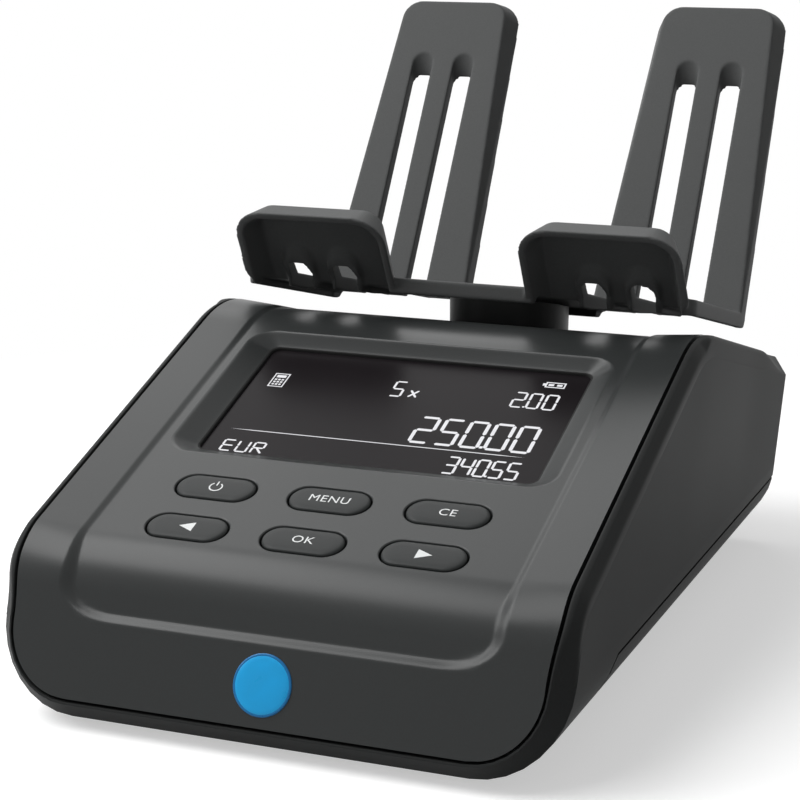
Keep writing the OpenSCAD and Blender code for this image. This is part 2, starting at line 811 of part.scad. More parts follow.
module overload_stop() color("#8f9397") placed() {
    translate([0, cell_rear - cell_hole - cell_pitch / 2, floor_in]) {
        cylinder(r = 4, h = 2, $fn = 6);
        cylinder(r = 2.5, h = spacer_t - stop_gap);
    }
}

module load_spider() color("#9ea2a6") placed() {
    w = 2 * post_r;
    spider_half = cell_h / 2 + 2;
    difference() {
        union() {
            translate([-cell_h / 2, cell_rear - free_pad, cell_top]) cube([cell_h, free_pad, spider_gap]);
            translate([-spider_half, post_s, spider_z])
                cube([2 * spider_half, cell_rear - post_s, spider_t]);
            translate([0, post_s, spider_z]) cylinder(d = w, h = spider_t);
        }
        for (s = free_holes)
            translate([0, s, cell_top - 1])
                cylinder(r = cell_screw_r + fit_gap, h = spider_gap + spider_t + 2);
        for (x = [-1, 1])
            translate([x * post_screw_x, post_s, spider_z - 1])
                cylinder(r = screw_r + fit_gap, h = spider_t + 2);
    }
}

module spider_screws() color("silver") placed() {
    for (s = free_holes)
        translate([0, s, post_z]) rotate([180, 0, 0])
            screw_up(cell_screw_r, 0, spider_t + spider_gap + cell_h * 0.7);
}

module post_screws() color("silver") placed() {
    for (x = [-1, 1])
        translate([x * post_screw_x, post_s, spider_z]) screw_up(screw_r, 0, spider_t + 7);
}

// Column through the rear top, its open head cut to the slope of the tray floor
module load_post() color("#161717") placed() {
    draft = 0.5;
    head = tray_z - (tray_t + fit_gap) / cos(floor_slope);
    rim_s = tray_foot.x - rim_t - socket_gap;
    rim_low = floor_rim + socket_gap;
    difference() {
        translate([0, post_s, post_z]) cylinder(r1 = post_r - draft, r2 = post_r, h = tray_z - post_z);
        along_x(4 * post_r)
            polygon([[tray_s, head], [tray_s, 2 * far], [far, 2 * far],
                     [far, head - (far - tray_s) * tan(floor_slope)]]);
        // Rebate for the rim at the back of the tray's bridge
        along_x(4 * post_r)
            polygon([[rim_s, floor_at(rim_s) - rim_low], [rim_s, 2 * far], [far, 2 * far],
                     [far, floor_at(far) - rim_low]]);
        translate([0, post_s, socket_z]) cylinder(r = socket_r, h = far);
        // Room for the heads of the screws that hold the spider plate
        for (s = free_holes)
            translate([0, s, post_z - 1])
                cylinder(r = cell_screw_r * head_r + 2 * socket_gap, h = 2 * cell_screw_r * head_h + 2);
        for (x = [-1, 1])
            translate([x * post_screw_x, post_s, post_z - 1]) cylinder(r = screw_r + fit_gap, h = 9);
    }
}

// Lip in its own plane: up the lean, with its depth running out to the front
module on_lip() {
    translate([0, lip_foot.x, lip_foot.y]) rotate([90 + lip_lean, 0, 0]) children();
}

module lip_outline(grow, low, r) {
    high = lip_l + grow;
    near = lip_in - grow;
    side = lip_out + grow;
    polygon(rounded([[near, low], [side, low], [side - 1, high], [near, high]],
                    [0, r, lip_r + grow, lip_r + grow]));
}

// Tray lips, floor and supports as blocks: inset 0 gives the outside, and the
// rim's thickness as inset the hollow behind the skin
module lip_block(inset) {
    thin = 0.2;
    near = inset > 0 ? tray_t : 0;
    deep = inset > 0 ? lip_d + 2 : lip_d;
    intersection() {
        on_lip() hull() {
            translate([0, 0, near])
                linear_extrude(height = thin)
                    lip_outline(near * flare - inset, inset > 0 ? -past : lip_low(near) - 2, 0);
            translate([0, 0, deep - thin])
                linear_extrude(height = thin)
                    lip_outline(deep * flare - inset, inset > 0 ? -past / 2 : lip_low(deep),
                                inset > 0 ? 0 : lip_foot_r);
        }
        if (inset == 0) above_rim();
    }
}

// Half space above the line of the floor's rims
module above_rim() {
    low = tray_front + rim_drop;
    along_x(4 * tray_half)
        polygon([low - floor_dir * far, low + floor_dir * far, low + floor_dir * far + [0, 2 * far],
                 low - floor_dir * far + [0, 2 * far]]);
}

module floor_block(inset) {
    drop = inset > 0 ? tray_t / cos(floor_slope) : 0;
    under = inset > 0 ? [0, -past] : rim_drop;
    a0 = tray_front + floor_dir * inset + [0, -drop];
    a1 = tray_foot - floor_dir * inset * 0.6 + [0, -drop];
    half = tray_half - inset;
    intersection() {
        along_x(2 * half)
            polygon(inset > 0 ? [a0, a1, a1 + under, a0 + under]
                              : [a0, a1, foot_back, tray_front + rim_drop]);
        linear_extrude(height = far)
            polygon(rounded([[-half, a0.x], [half, a0.x], [half, far], [-half, far]],
                            [lip_foot_r, lip_foot_r, 0, 0]));
    }
}

// Support in its own plane: up the lean, with its coin side at height 0
module on_support() {
    translate([0, tray_foot.x, tray_foot.y]) rotate([90 - support_lean, 0, 0]) children();
}

module support_outline(grow, inset) {
    low = (inset > 0 ? -past : -support_d) - grow;
    top = support_l + grow - inset;
    r = support_r + grow - inset;
    polygon(rounded([[bridge_half + inset, low], [tray_half - inset, low],
                     [support_out + grow - inset, top], [support_in - grow + inset, top]], [0, 0, r, r]));
}

module support_block() {
    thin = 0.2;
    intersection() {
        on_support() hull() {
            translate([0, 0, -thin]) linear_extrude(height = thin) support_outline(0, 0);
            translate([0, 0, -support_d])
                linear_extrude(height = thin) support_outline(support_d * flare, 0);
        }
        above_rim();
    }
}

module support_hollow(inset) {
    on_support()
        translate([0, 0, -past])
            linear_extrude(height = past - tray_t) support_outline(tray_t * flare, inset);
}

// Slot seen from above, grown by a collar: it starts on the lip, crosses the floor and ends up the
// support. The tool that forms it draws straight down, so the walls are upright, and its ends look
// round on the leaning faces
module slot_plan(grow) {
    half = slot_w / 2;
    start = (lip_foot + lip_dir * (slot_lip - half)).x;
    stop = (tray_foot + support_dir * (support_l - slot_top - half)).x;
    translate([-half - grow, start]) square([2 * (half + grow), stop - start]);
    for (end = [[start, lip_lean], [stop, support_lean]])
        translate([0, end[0]])
            scale([1, (half * sin(end[1]) + grow) / (half + grow)]) circle(half + grow);
}

module tray_slots(grow) {
    for (side = [-1, 1])
        for (x = slots)
            translate([side * x, 0, 0]) linear_extrude(height = far) slot_plan(grow);
}

// Side profile within which the slots' collars lie
module collar_profile(deep) {
    high = lip_foot + lip_dir * lip_l * 0.8;
    top = tray_top - support_dir * support_r;
    out = lip_out_dir * deep;
    back = along(-support_lean) * deep;
    under = tray_front + [0, -deep / cos(floor_slope)];
    along_x(4 * tray_half)
        polygon([lip_foot, high, high + out, meet(lip_foot + out, 90 + lip_lean, under, -floor_slope),
                 meet(under, -floor_slope, tray_foot + back, 90 - support_lean), top + back, top, tray_foot]);
}

module tray_shell(inset) {
    floor_block(inset);
    for (side = [0, 1])
        mirror([side, 0, 0]) {
            lip_block(inset);
            if (inset == 0) support_block();
            else support_hollow(inset);
        }
}

module coin_tray() color("#4b4d4d") placed() {
    collar = 1.5;
    difference() {
        union() {
            difference() {
                tray_shell(0);
                tray_shell(rim_t);
            }
            intersection() {
                collar_profile(slot_d);
                tray_slots(collar);
            }
            // Ring that plugs into the post
            difference() {
                translate([0, post_s, collar_z]) cylinder(r = socket_r - socket_gap, h = far);
                translate([0, post_s, collar_z - 1]) cylinder(r = socket_r - socket_gap - rim_t, h = far);
                along_x(4 * post_r)
                    polygon([tray_front + [0, -tray_t / 2], [tray_s, 2 * far], [far, 2 * far],
                             [far, floor_at(far) - tray_t / 2]]);
            }
        }
        tray_slots(0);
    }
}

// Hatch on two pivots at its front edge, with a sprung tongue at the other end
module battery_door() color("#2b2c2d") placed() {
    w = bay_w + 2 * door_lap;
    difference() {
        union() {
            translate([-w / 2, door_axis.x, ground_gap]) cube([w, door_end - door_axis.x, door_t]);
            translate([0, door_axis.x, door_axis.y])
                rotate([0, 90, 0]) cylinder(d = door_t, h = w, center = true);
            translate([0, door_axis.x, door_axis.y])
                rotate([0, 90, 0]) cylinder(r = door_pin_r, h = w + 2 * door_pin_l, center = true);
        }
        for (x = [-1, 1])
            translate([x * tongue_half, door_end, 0]) cube([1, 2 * tongue_l, 4 * door_t], center = true);
    }
}

// Battery cell lying front to back; way 1 has its nub at the rear
module battery_cell(i) {
    way = i % 2 == 0 ? 1 : -1;
    nub = 1;
    x = (i - (aa_count - 1) / 2) * aa_pitch;
    translate([x, bay_s + bay_l / 2, aa_z]) rotate([-90 * way, 0, 0]) {
        translate([0, 0, -aa_l / 2]) cylinder(d = aa_d, h = aa_l - nub);
        translate([0, 0, aa_l / 2 - 2 * nub]) cylinder(r = 2.75, h = 2 * nub);
    }
}

module battery_cell_1() color("#b9902f") placed() battery_cell(0);
module battery_cell_2() color("#b9902f") placed() battery_cell(1);
module battery_cell_3() color("#b9902f") placed() battery_cell(2);
module battery_cell_4() color("#b9902f") placed() battery_cell(3);

// Sprung and plain contacts at the two ends of each battery cell
module battery_contacts() color("#c8c4b8") placed() {
    plate = 0.4;
    stub = (bay_l - aa_l) / 2 - plate - fit_gap;
    for (i = [0:aa_count - 1]) {
        way = i % 2 == 0 ? 1 : -1;
        x = (i - (aa_count - 1) / 2) * aa_pitch;
        for (end = [-1, 1])
            translate([x, bay_s + bay_l / 2 + end * bay_l / 2, aa_z]) rotate([90 * end, 0, 0]) {
                linear_extrude(height = plate) square([11, 10], center = true);
                translate([0, 0, plate])
                    cylinder(r1 = end == way ? 2.2 : 4.5, r2 = end == way ? 2 : 2.6, h = stub);
            }
    }
}

// Barrel inlet with its centre pin, flush with the socket recess
module power_inlet() color("#101010") placed() {
    translate([inlet_x, port_s, port_axis]) rotate([90, 0, 0]) {
        difference() {
            union() {
                cylinder(r = inlet_half, h = wall + 2);
                translate([-inlet_half, -phone_h / 2, wall + fit_gap])
                    cube([2 * inlet_half, phone_h / 2 + inlet_half, inlet_l]);
            }
            translate([0, 0, -1]) cylinder(r = inlet_r, h = 10);
        }
        cylinder(r = inlet_pin_r, h = 10);
    }
}

// Modular socket with the notch for the plug's latch
module printer_socket() color("#101010") placed() {
    hole_w = phone_w - 3;
    hole_h = phone_h - 4;
    translate([phone_x, port_s, port_axis]) difference() {
        translate([-phone_w / 2, -phone_l, -phone_h / 2]) cube([phone_w, phone_l, phone_h]);
        translate([-hole_w / 2, -phone_l + 2, -hole_h / 2 + 0.5]) cube([hole_w, phone_l, hole_h]);
        translate([-hole_w / 5, -phone_l + 4, -hole_h / 2 - 0.9]) cube([hole_w * 0.4, phone_l, 2]);
    }
}

module port_board() color("#1f6b3a") placed() {
    translate([port_x - port_board_w / 2, port_board_s, port_board_z])
        cube([port_board_w, port_board_l, board_t]);
}

module foot(x, s) {
    translate([x, s, 0]) {
        cylinder(r1 = foot_r - 0.6, r2 = foot_r, h = 0.6);
        translate([0, 0, 0.6]) cylinder(r = foot_r, h = ground_gap + foot_sunk - 0.6);
    }
}

module foot_front_left() color("#1a1a1a") placed() foot(-foot_x, foot_front);
module foot_front_right() color("#1a1a1a") placed() foot(foot_x, foot_front);
module foot_rear_left() color("#1a1a1a") placed() foot(-foot_x, foot_rear);
module foot_rear_right() color("#1a1a1a") placed() foot(foot_x, foot_rear);

module housing_screws() color("silver") placed() {
    for (p = housing_screws_at)
        translate([p.x, p.y, 0]) screw_up(screw_r, ground_gap + wall / 2, wall / 2 + thread_l);
}

base_housing();
bottom_cover();
top_cover();
badge();
display_lens();
lcd_panel();
backlight();
main_board();
keypad_mat();
buzzer();
key_power();
key_menu();
key_clear();
key_left();
key_ok();
key_right();
board_screws();
load_cell();
load_cell_spacer();
load_cell_screws();
overload_stop();
load_spider();
spider_screws();
load_post();
post_screws();
coin_tray();
battery_door();
battery_cell_1();
battery_cell_2();
battery_cell_3();
battery_cell_4();
battery_contacts();
power_inlet();
printer_socket();
port_board();
foot_front_left();
foot_front_right();
foot_rear_left();
foot_rear_right();
housing_screws();
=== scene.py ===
# %% [markdown]
# # A money counting scale
#
# The scale is a wedge of dark moulded plastic with a sloped panel, a sunk
# display, six soft keys and a slotted coin tray on a post. The solids come
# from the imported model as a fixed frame; this lesson dresses them. The shells
# are fresh smooth meshes or welded copies, because the frame's own meshes are
# loose triangles that would show their facets.

# %% Load the frame
import math

import bmesh
import bpy
from mathutils import Matrix, Vector


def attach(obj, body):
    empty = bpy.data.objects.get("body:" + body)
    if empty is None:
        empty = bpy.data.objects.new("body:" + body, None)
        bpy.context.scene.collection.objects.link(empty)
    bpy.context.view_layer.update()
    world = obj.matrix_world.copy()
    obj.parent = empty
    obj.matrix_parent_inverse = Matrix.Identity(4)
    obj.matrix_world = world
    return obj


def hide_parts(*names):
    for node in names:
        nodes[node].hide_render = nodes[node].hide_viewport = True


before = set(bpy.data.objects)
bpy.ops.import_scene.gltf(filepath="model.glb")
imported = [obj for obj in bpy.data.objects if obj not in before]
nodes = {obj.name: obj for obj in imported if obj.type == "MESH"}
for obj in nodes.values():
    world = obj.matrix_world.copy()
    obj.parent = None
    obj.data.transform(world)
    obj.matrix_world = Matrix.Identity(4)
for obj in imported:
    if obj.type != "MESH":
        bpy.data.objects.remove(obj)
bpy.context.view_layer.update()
MM = 0.001
print("nodes in the frame:", len(nodes))

# %% [markdown]
# ## The camera
#
# The picture was taken from the right of the front, a little above, with a
# long lens. The place and the angles were fitted to the edges of the housing,
# the display and the tray, so the camera only has to be put there. Front to
# back, the model counts distances from the front foot of the housing, and the
# middle of the object lies 124.6 mm behind that foot.

# %% Camera at the fitted place
MIDDLE = 124.599
CAMERA_X, CAMERA_S, CAMERA_Z = 187.7, -395.2, 181.1
SENSOR, FOCAL_PIXELS, PICTURE_PIXELS = 36, 2136.6, 800
yaw, pitch, roll = (math.radians(a) for a in (21.27, 12.85, 0.38))
ahead = Vector((-math.sin(yaw) * math.cos(pitch), math.cos(yaw) * math.cos(pitch), -math.sin(pitch)))
level = Vector((math.cos(yaw), math.sin(yaw), 0))
above = level.cross(ahead)
right = math.cos(roll) * level + math.sin(roll) * above
upward = math.cos(roll) * above - math.sin(roll) * level

camera_data = bpy.data.cameras.new("studio_camera")
camera_data.sensor_width = SENSOR
camera_data.sensor_fit = "HORIZONTAL"
camera_data.lens = SENSOR * FOCAL_PIXELS / PICTURE_PIXELS
camera_data.clip_end = 50
camera = bpy.data.objects.new("studio_camera", camera_data)
bpy.context.scene.collection.objects.link(camera)
turn = Matrix((right, upward, -ahead)).transposed().to_4x4()
camera.matrix_world = Matrix.Translation(Vector((CAMERA_X, CAMERA_S - MIDDLE, CAMERA_Z)) * MM) @ turn
bpy.context.scene.camera = camera
print("camera lens:", round(camera_data.lens, 1), "mm")

# %% [markdown]
# ## Colours and nodes
#
# Colours are written as they look on a screen and turned to linear light by
# one function. A second small function adds a shader node, sets it up and
# links it, so each material below reads as a list of what it is made of.

# %% Colour and node helpers
def colour(text):
    parts = [int(text[i:i + 2], 16) / 255 for i in (1, 3, 5)]
    return (*[p / 12.92 if p <= 0.04045 else ((p + 0.055) / 1.055) ** 2.4 for p in parts], 1.0)


def add(tree, kind, inputs=None, **settings):
    node = tree.nodes.new(kind)
    for name, value in settings.items():
        setattr(node, name, value)
    for name, value in (inputs or {}).items():
        if isinstance(value, bpy.types.NodeSocket):
            tree.links.new(value, node.inputs[name])
        else:
            node.inputs[name].default_value = value
    return node


def new_material(name):
    made = bpy.data.materials.new(name)
    made.use_nodes = True
    made.node_tree.nodes.clear()
    return made, made.node_tree


# %% [markdown]
# ## Moulded plastics
#
# Nearly all of the scale is ABS, moulded in steel tools whose faces were
# etched or spark eroded. That leaves a fine grain that scatters light, so the
# plastic looks satin rather than shiny. The real grain is about 0.15 mm, too
# fine for the picture, so it is drawn at 0.5 mm with a very shallow bump and
# a slight change of colour. A second, much wider noise gives the faint
# unevenness of gloss that big mouldings have.

# %% Textured ABS
CLOUD, GLOSS_SWING = 60.0, 0.03


def textured_abs(name, hex_colour, roughness, grain=0.5, relief=0.03, specular=0.35):
    made, tree = new_material(name)
    place = add(tree, "ShaderNodeTexCoord").outputs["Object"]
    grain_noise = add(tree, "ShaderNodeTexNoise",
                      {"Vector": place, "Scale": 1 / (grain * MM), "Detail": 2.0, "Roughness": 0.6})
    cloud = add(tree, "ShaderNodeTexNoise", {"Vector": place, "Scale": 1 / (CLOUD * MM), "Detail": 1.0})
    base = colour(hex_colour)
    dark = tuple(0.9 * c for c in base[:3]) + (1.0,)
    light = tuple(1.1 * c for c in base[:3]) + (1.0,)
    tint = add(tree, "ShaderNodeMix", {"Factor": grain_noise.outputs["Fac"], "A": dark, "B": light},
               data_type="RGBA")
    gloss = add(tree, "ShaderNodeMapRange",
                {"Value": cloud.outputs["Fac"], "From Min": 0.2, "From Max": 0.8,
                 "To Min": roughness - GLOSS_SWING, "To Max": roughness + GLOSS_SWING},
                interpolation_type="SMOOTHSTEP")
    bump = add(tree, "ShaderNodeBump", {"Height": grain_noise.outputs["Fac"], "Strength": 0.25,
                                        "Distance": relief * MM})
    skin = add(tree, "ShaderNodeBsdfPrincipled",
               {"Base Color": tint.outputs["Result"], "Roughness": gloss.outputs["Result"],
                "IOR": 1.5, "Specular IOR Level": specular, "Normal": bump.outputs["Normal"]})
    add(tree, "ShaderNodeOutputMaterial", {"Surface": skin.outputs["BSDF"]})
    return made


# Fine etched cover: a satin sheen that spreads over the bends
cover_abs = textured_abs("ABS_satin_grey", "#2c2e2e", 0.31, specular=0.25)
# Spark-eroded housing: near black, with hardly any shine
housing_abs = textured_abs("ABS_textured_charcoal", "#2f3030", 0.5, specular=0.04)
# The same grain in a darker batch, for the parts underneath
base_abs = textured_abs("ABS_textured_black", "#282929", 0.5, specular=0.04)
# Matt tray: a flat charcoal that shows its shape by shade alone
tray_abs = textured_abs("ABS_textured_tray_grey", "#585959", 0.5, specular=0.04)
# Satin keys: a faint sheen on the crown
key_abs = textured_abs("ABS_satin_key_grey", "#2a2c2c", 0.36, specular=0.12)
# Jet post: a deep black under the tray
post_abs = textured_abs("ABS_textured_jet", "#242525", 0.45)
# Moulded nylon: dull black round the contacts
socket_abs = textured_abs("Nylon_socket_black", "#121212", 0.5)
# Moulded rubber: hardly a highlight; its grain is drawn coarse enough to show.
# Its black is also used as painted shade on the window's inner wall
rubber = textured_abs("Rubber_moulded_black", "#1c1c1c", 0.8, grain=0.8, relief=0.06, specular=0.2)
print("plastics:", len(bpy.data.materials))

# %% [markdown]
# ## Glossy and printed finishes
#
# The display window is smoked acrylic with an antiglare face. The badge is a
# blue dome of clear resin, the print on the keys is white ink, and the digits
# of the display are lit segments. Inside there is milled aluminium, plain
# steel, green circuit board and the printed sleeve of the battery cells.

# %% Gloss, print and metal
def simple_finish(name, hex_colour, roughness, metallic=0.0, grain=1.0, stretch=(1, 1, 1), swing=0.06,
                  specular=0.5):
    made, tree = new_material(name)
    place = add(tree, "ShaderNodeTexCoord").outputs["Object"]
    turned = add(tree, "ShaderNodeMapping", {"Vector": place, "Scale": stretch})
    noise = add(tree, "ShaderNodeTexNoise", {"Vector": turned.outputs["Vector"], "Scale": 1 / (grain * MM),
                                             "Detail": 3.0})
    base = colour(hex_colour)
    dark = tuple(0.92 * c for c in base[:3]) + (1.0,)
    light = tuple(min(1, 1.08 * c) for c in base[:3]) + (1.0,)
    tint = add(tree, "ShaderNodeMix", {"Factor": noise.outputs["Fac"], "A": dark, "B": light},
               data_type="RGBA")
    gloss = add(tree, "ShaderNodeMapRange",
                {"Value": noise.outputs["Fac"], "From Min": 0.3, "From Max": 0.7,
                 "To Min": max(0.02, roughness - swing), "To Max": roughness + swing})
    skin = add(tree, "ShaderNodeBsdfPrincipled",
               {"Base Color": tint.outputs["Result"], "Roughness": gloss.outputs["Result"],
                "Metallic": metallic, "IOR": 1.5, "Specular IOR Level": specular})
    add(tree, "ShaderNodeOutputMaterial", {"Surface": skin.outputs["BSDF"]})
    return made


# Antiglare acrylic: a near black window without a mirror image
acrylic = simple_finish("Acrylic_smoked_antiglare", "#1c191b", 0.25, grain=30, swing=0.02, specular=0.04)
# Domed resin: a clear blue with a soft spot of light, deeper at its rim
resin_blue = simple_finish("Resin_dome_blue", "#1aa6e6", 0.3, grain=4, swing=0.03, specular=0.3)
resin_rim = simple_finish("Resin_dome_rim", "#0d6ca6", 0.3, grain=2, swing=0.05, specular=0.3)
# Screen print: flat white
white_ink = simple_finish("Ink_white_print", "#d9dbdb", 0.5, grain=0.5)
# Milled aluminium and plain steel: fine lines along the cut
milled = simple_finish("Aluminium_milled", "#c4c7cb", 0.35, metallic=1.0, grain=0.6, stretch=(1, 12, 1))
steel = simple_finish("Steel_plain", "#a9acb0", 0.4, metallic=1.0, grain=0.8, stretch=(8, 1, 1))
# Board, diffuser, cell sleeve and crystal panel: seen only when the scale is open
board_green = simple_finish("Glass_epoxy_board_green", "#1f5a35", 0.45, grain=1.5)
milky = simple_finish("Acrylic_milky_diffuser", "#dfe4e8", 0.4, grain=8)
sleeve = simple_finish("Printed_cell_sleeve", "#a8812a", 0.35, metallic=0.3, grain=6)
panel_dark = simple_finish("Liquid_crystal_panel", "#242022", 0.2, grain=20, swing=0.02)

# Lit segments: a nearly even white glow
lit, lit_tree = new_material("Lit_segments_white")
glow = add(lit_tree, "ShaderNodeTexNoise", {"Vector": add(lit_tree, "ShaderNodeTexCoord").outputs["Object"],
                                            "Scale": 1 / (3 * MM)})
level_of = add(lit_tree, "ShaderNodeMapRange", {"Value": glow.outputs["Fac"], "To Min": 0.82, "To Max": 0.98})
lamp = add(lit_tree, "ShaderNodeEmission",
           {"Color": colour("#fbfbff"), "Strength": level_of.outputs["Result"]})
add(lit_tree, "ShaderNodeOutputMaterial", {"Surface": lamp.outputs["Emission"]})
print("materials:", len(bpy.data.materials))

# %% [markdown]
# ## Mesh helpers
#
# Many of the pieces are rings joined into a skin: a key, a bezel, a foot. One
# helper makes an object from points and faces, one joins rings of equal
# length, and one sets smooth shading with sharp edges only where two faces
# really meet at an angle.

# %% Mesh helpers
def mesh_object(name, points, faces, material, smooth_angle=35):
    mesh = bpy.data.meshes.new(name)
    mesh.from_pydata([tuple(p) for p in points], [], faces)
    mesh.update()
    made = bpy.data.objects.new(name, mesh)
    bpy.context.scene.collection.objects.link(made)
    mesh.materials.append(material)
    tidy_normals(made, smooth_angle)
    return made


def tidy_normals(made, smooth_angle):
    work = bmesh.new()
    work.from_mesh(made.data)
    bmesh.ops.remove_doubles(work, verts=work.verts, dist=1e-7)
    bmesh.ops.recalc_face_normals(work, faces=work.faces)
    work.to_mesh(made.data)
    work.free()
    made.data.shade_smooth()
    made.data.set_sharp_from_angle(angle=math.radians(smooth_angle))


def loft(rings, close_first=False, close_last=False):
    count = len(rings[0])
    points = [p for ring in rings for p in ring]
    faces = []
    for k in range(len(rings) - 1):
        for i in range(count):
            j = (i + 1) % count
            faces.append((k * count + i, k * count + j, (k + 1) * count + j, (k + 1) * count + i))
    if close_first:
        faces.append(tuple(range(count - 1, -1, -1)))
    if close_last:
        faces.append(tuple(range((len(rings) - 1) * count, len(rings) * count)))
    return points, faces


def round_rect(half_w, half_h, r, centre=(0, 0), steps=10):
    ring = []
    for sx, sy, start in ((1, 1, 0), (-1, 1, 90), (-1, -1, 180), (1, -1, 270)):
        for i in range(steps + 1):
            a = math.radians(start + 90 * i / steps)
            ring.append((centre[0] + sx * (half_w - r) + r * math.cos(a),
                         centre[1] + sy * (half_h - r) + r * math.sin(a)))
    return ring


def join(pieces):
    bpy.ops.object.select_all(action="DESELECT")
    for piece in pieces:
        piece.select_set(True)
    bpy.context.view_layer.objects.active = pieces[0]
    bpy.ops.object.join()
    return pieces[0]


def cut(target, cutters, operation="DIFFERENCE"):
    for cutter in cutters:
        knife = target.modifiers.new("cut", "BOOLEAN")
        knife.operation = operation
        knife.solver = "EXACT"
        knife.object = cutter
    applied(target)
    for cutter in cutters:
        bpy.data.objects.remove(cutter)


def applied(piece):
    bpy.context.view_layer.update()
    evaluated = piece.evaluated_get(bpy.context.evaluated_depsgraph_get())
    mesh = bpy.data.meshes.new_from_object(evaluated)
    piece.modifiers.clear()
    piece.data = mesh
    return piece


# %% [markdown]
# ## The side profile
#
# Seen from the side the housing is five straight lines with rounded corners:
# the leaning front, the panel, the falling rear top, the rear wall and the
# underside. The cover follows the first three. The profile is walked as a
# list of points with their outward directions, fine in the bends and coarse
# on the flats, and everything on the cover is set off from it.

# %% Profile of the cover
FRONT_LEAN, PANEL_SLOPE, REAR_SLOPE = 20.0, 20.0, 14.0
RIDGE = Vector((122.0, 79.1))
UNDER = 2.0


def heading(a):
    return Vector((math.cos(math.radians(a)), math.sin(math.radians(a))))


def meet(p, a, q, b):
    d, e = heading(a), heading(b)
    cross = Vector((e.y, -e.x))
    return p + d * ((q - p).dot(cross) / d.dot(cross))


front_bend = meet(Vector((0, UNDER)), 90 - FRONT_LEAN, RIDGE, PANEL_SLOPE)


def bend(corner, a, b, r):
    half = math.radians((a - b) / 2)
    centre = corner - heading((a + b) / 2 + 90).normalized() * r / math.cos(half)
    steps = max(8, int(abs(a - b) * r / 25))
    angles = [a + (b - a) * i / steps for i in range(steps + 1)]
    return [(centre + heading(angle + 90) * r, angle) for angle in angles]


def straight(p, q, a, step):
    count = max(1, int((q - p).length / step))
    return [(p.lerp(q, i / count), a) for i in range(count + 1)]


COVER_FOOT = UNDER + 5.4
COVER_REAR = 228.0
FRONT_BEND_R, RIDGE_R = 20.0, 40.0
front_arc = bend(front_bend, 90 - FRONT_LEAN, PANEL_SLOPE, FRONT_BEND_R)
ridge_arc = bend(RIDGE, PANEL_SLOPE, -REAR_SLOPE, RIDGE_R)
foot_point = Vector(((COVER_FOOT - UNDER) * math.tan(math.radians(FRONT_LEAN)), COVER_FOOT))
rear_point = Vector((COVER_REAR, RIDGE.y - (COVER_REAR - RIDGE.x) * math.tan(math.radians(REAR_SLOPE))))
walk = (straight(foot_point, front_arc[0][0], 90 - FRONT_LEAN, 0.35)[:-1] + front_arc
        + straight(front_arc[-1][0], ridge_arc[0][0], PANEL_SLOPE, 1.5)[1:-1] + ridge_arc
        + straight(ridge_arc[-1][0], rear_point, -REAR_SLOPE, 1.0)[1:])
travel = [0.0]
for before, after in zip(walk, walk[1:]):
    travel.append(travel[-1] + (after[0] - before[0]).length)
print("profile points:", len(walk), "length:", round(travel[-1], 1), "mm")

# %% [markdown]
# ## The top cover
#
# The cover is one moulding over front, panel and rear. Its middle is sunk by
# 1.5 mm behind a soft step that turns across the front face and runs up both
# sides; over the bend the step fades to a low one. A sheet of quads follows
# the profile; how far a point lies inside the step's outline decides how deep
# it sinks, with a smooth curve so that the step catches a soft highlight. A
# thickness is then added, and the openings are cut out with true cutters.

# %% Width and step of the cover
COVER_HALF, FOOT_HALF, COVER_R, REAR_R = 65.0, 63.7, 15.6, 6.0
RECESS_HALF, RECESS_FOOT, RECESS_R, RECESS_D = 54.0, 24.2, 9.0, 1.5
FOOT_W, FRONT_W, SIDE_W = 2.6, 4.0, 2.2
FRONT_PART, WALL = 30.0, 2.0
LOW_STEP, FADE_START, FADE = 0.6, 3.0, 13.0
recess_start = next(t for t, (p, a) in zip(travel, walk) if p.y >= RECESS_FOOT)


def ease(k):
    k = min(1, max(0, k))
    return k * k * (3 - 2 * k)


START_Z, BLEND = 23.2, 16.0
STRIP_END, REAR_BLEND = 226.0, 34.0
strip_start = next(t for t, (p, a) in zip(travel, walk) if p.y >= START_Z)


def widened(p, t):
    return ease((t - strip_start) / BLEND) * ease((STRIP_END - p.x) / REAR_BLEND)


def half_width(p, t):
    half = FOOT_HALF + (COVER_HALF - FOOT_HALF) * widened(p, t)
    rise = p.y - COVER_FOOT
    if p.x < FRONT_PART and rise < COVER_R:
        half += math.sqrt(max(0, COVER_R ** 2 - (COVER_R - rise) ** 2)) - COVER_R
    back = COVER_REAR - p.x
    if back < REAR_R:
        half += math.sqrt(max(0, REAR_R ** 2 - (REAR_R - back) ** 2)) - REAR_R
    return half


bend_start = next(t for t, (p, a) in zip(travel, walk) if a < 90 - FRONT_LEAN)


def sunk(x, t):
    up = ease((t - bend_start - FADE_START) / FADE)
    dx = (RECESS_HALF - abs(x)) * FOOT_W / (FRONT_W + (SIDE_W - FRONT_W) * up)
    dt = t - recess_start
    inside = min(dx, dt)
    if dx < RECESS_R and dt < RECESS_R:
        inside = RECESS_R - math.hypot(RECESS_R - dx, RECESS_R - dt)
    step = RECESS_D + (LOW_STEP - RECESS_D) * up
    ramp = min(1, max(0, (COVER_HALF - abs(x)) / (COVER_HALF - RECESS_HALF)))
    return (RECESS_D - step) * ramp + step * ease(inside / FOOT_W)


def on_profile(x, p, a, depth):
    inward = heading(a - 90)
    q = p + inward * depth
    return Vector((x, q.x - MIDDLE, q.y)) * MM


print("step starts", round(recess_start, 1), "mm up the profile")

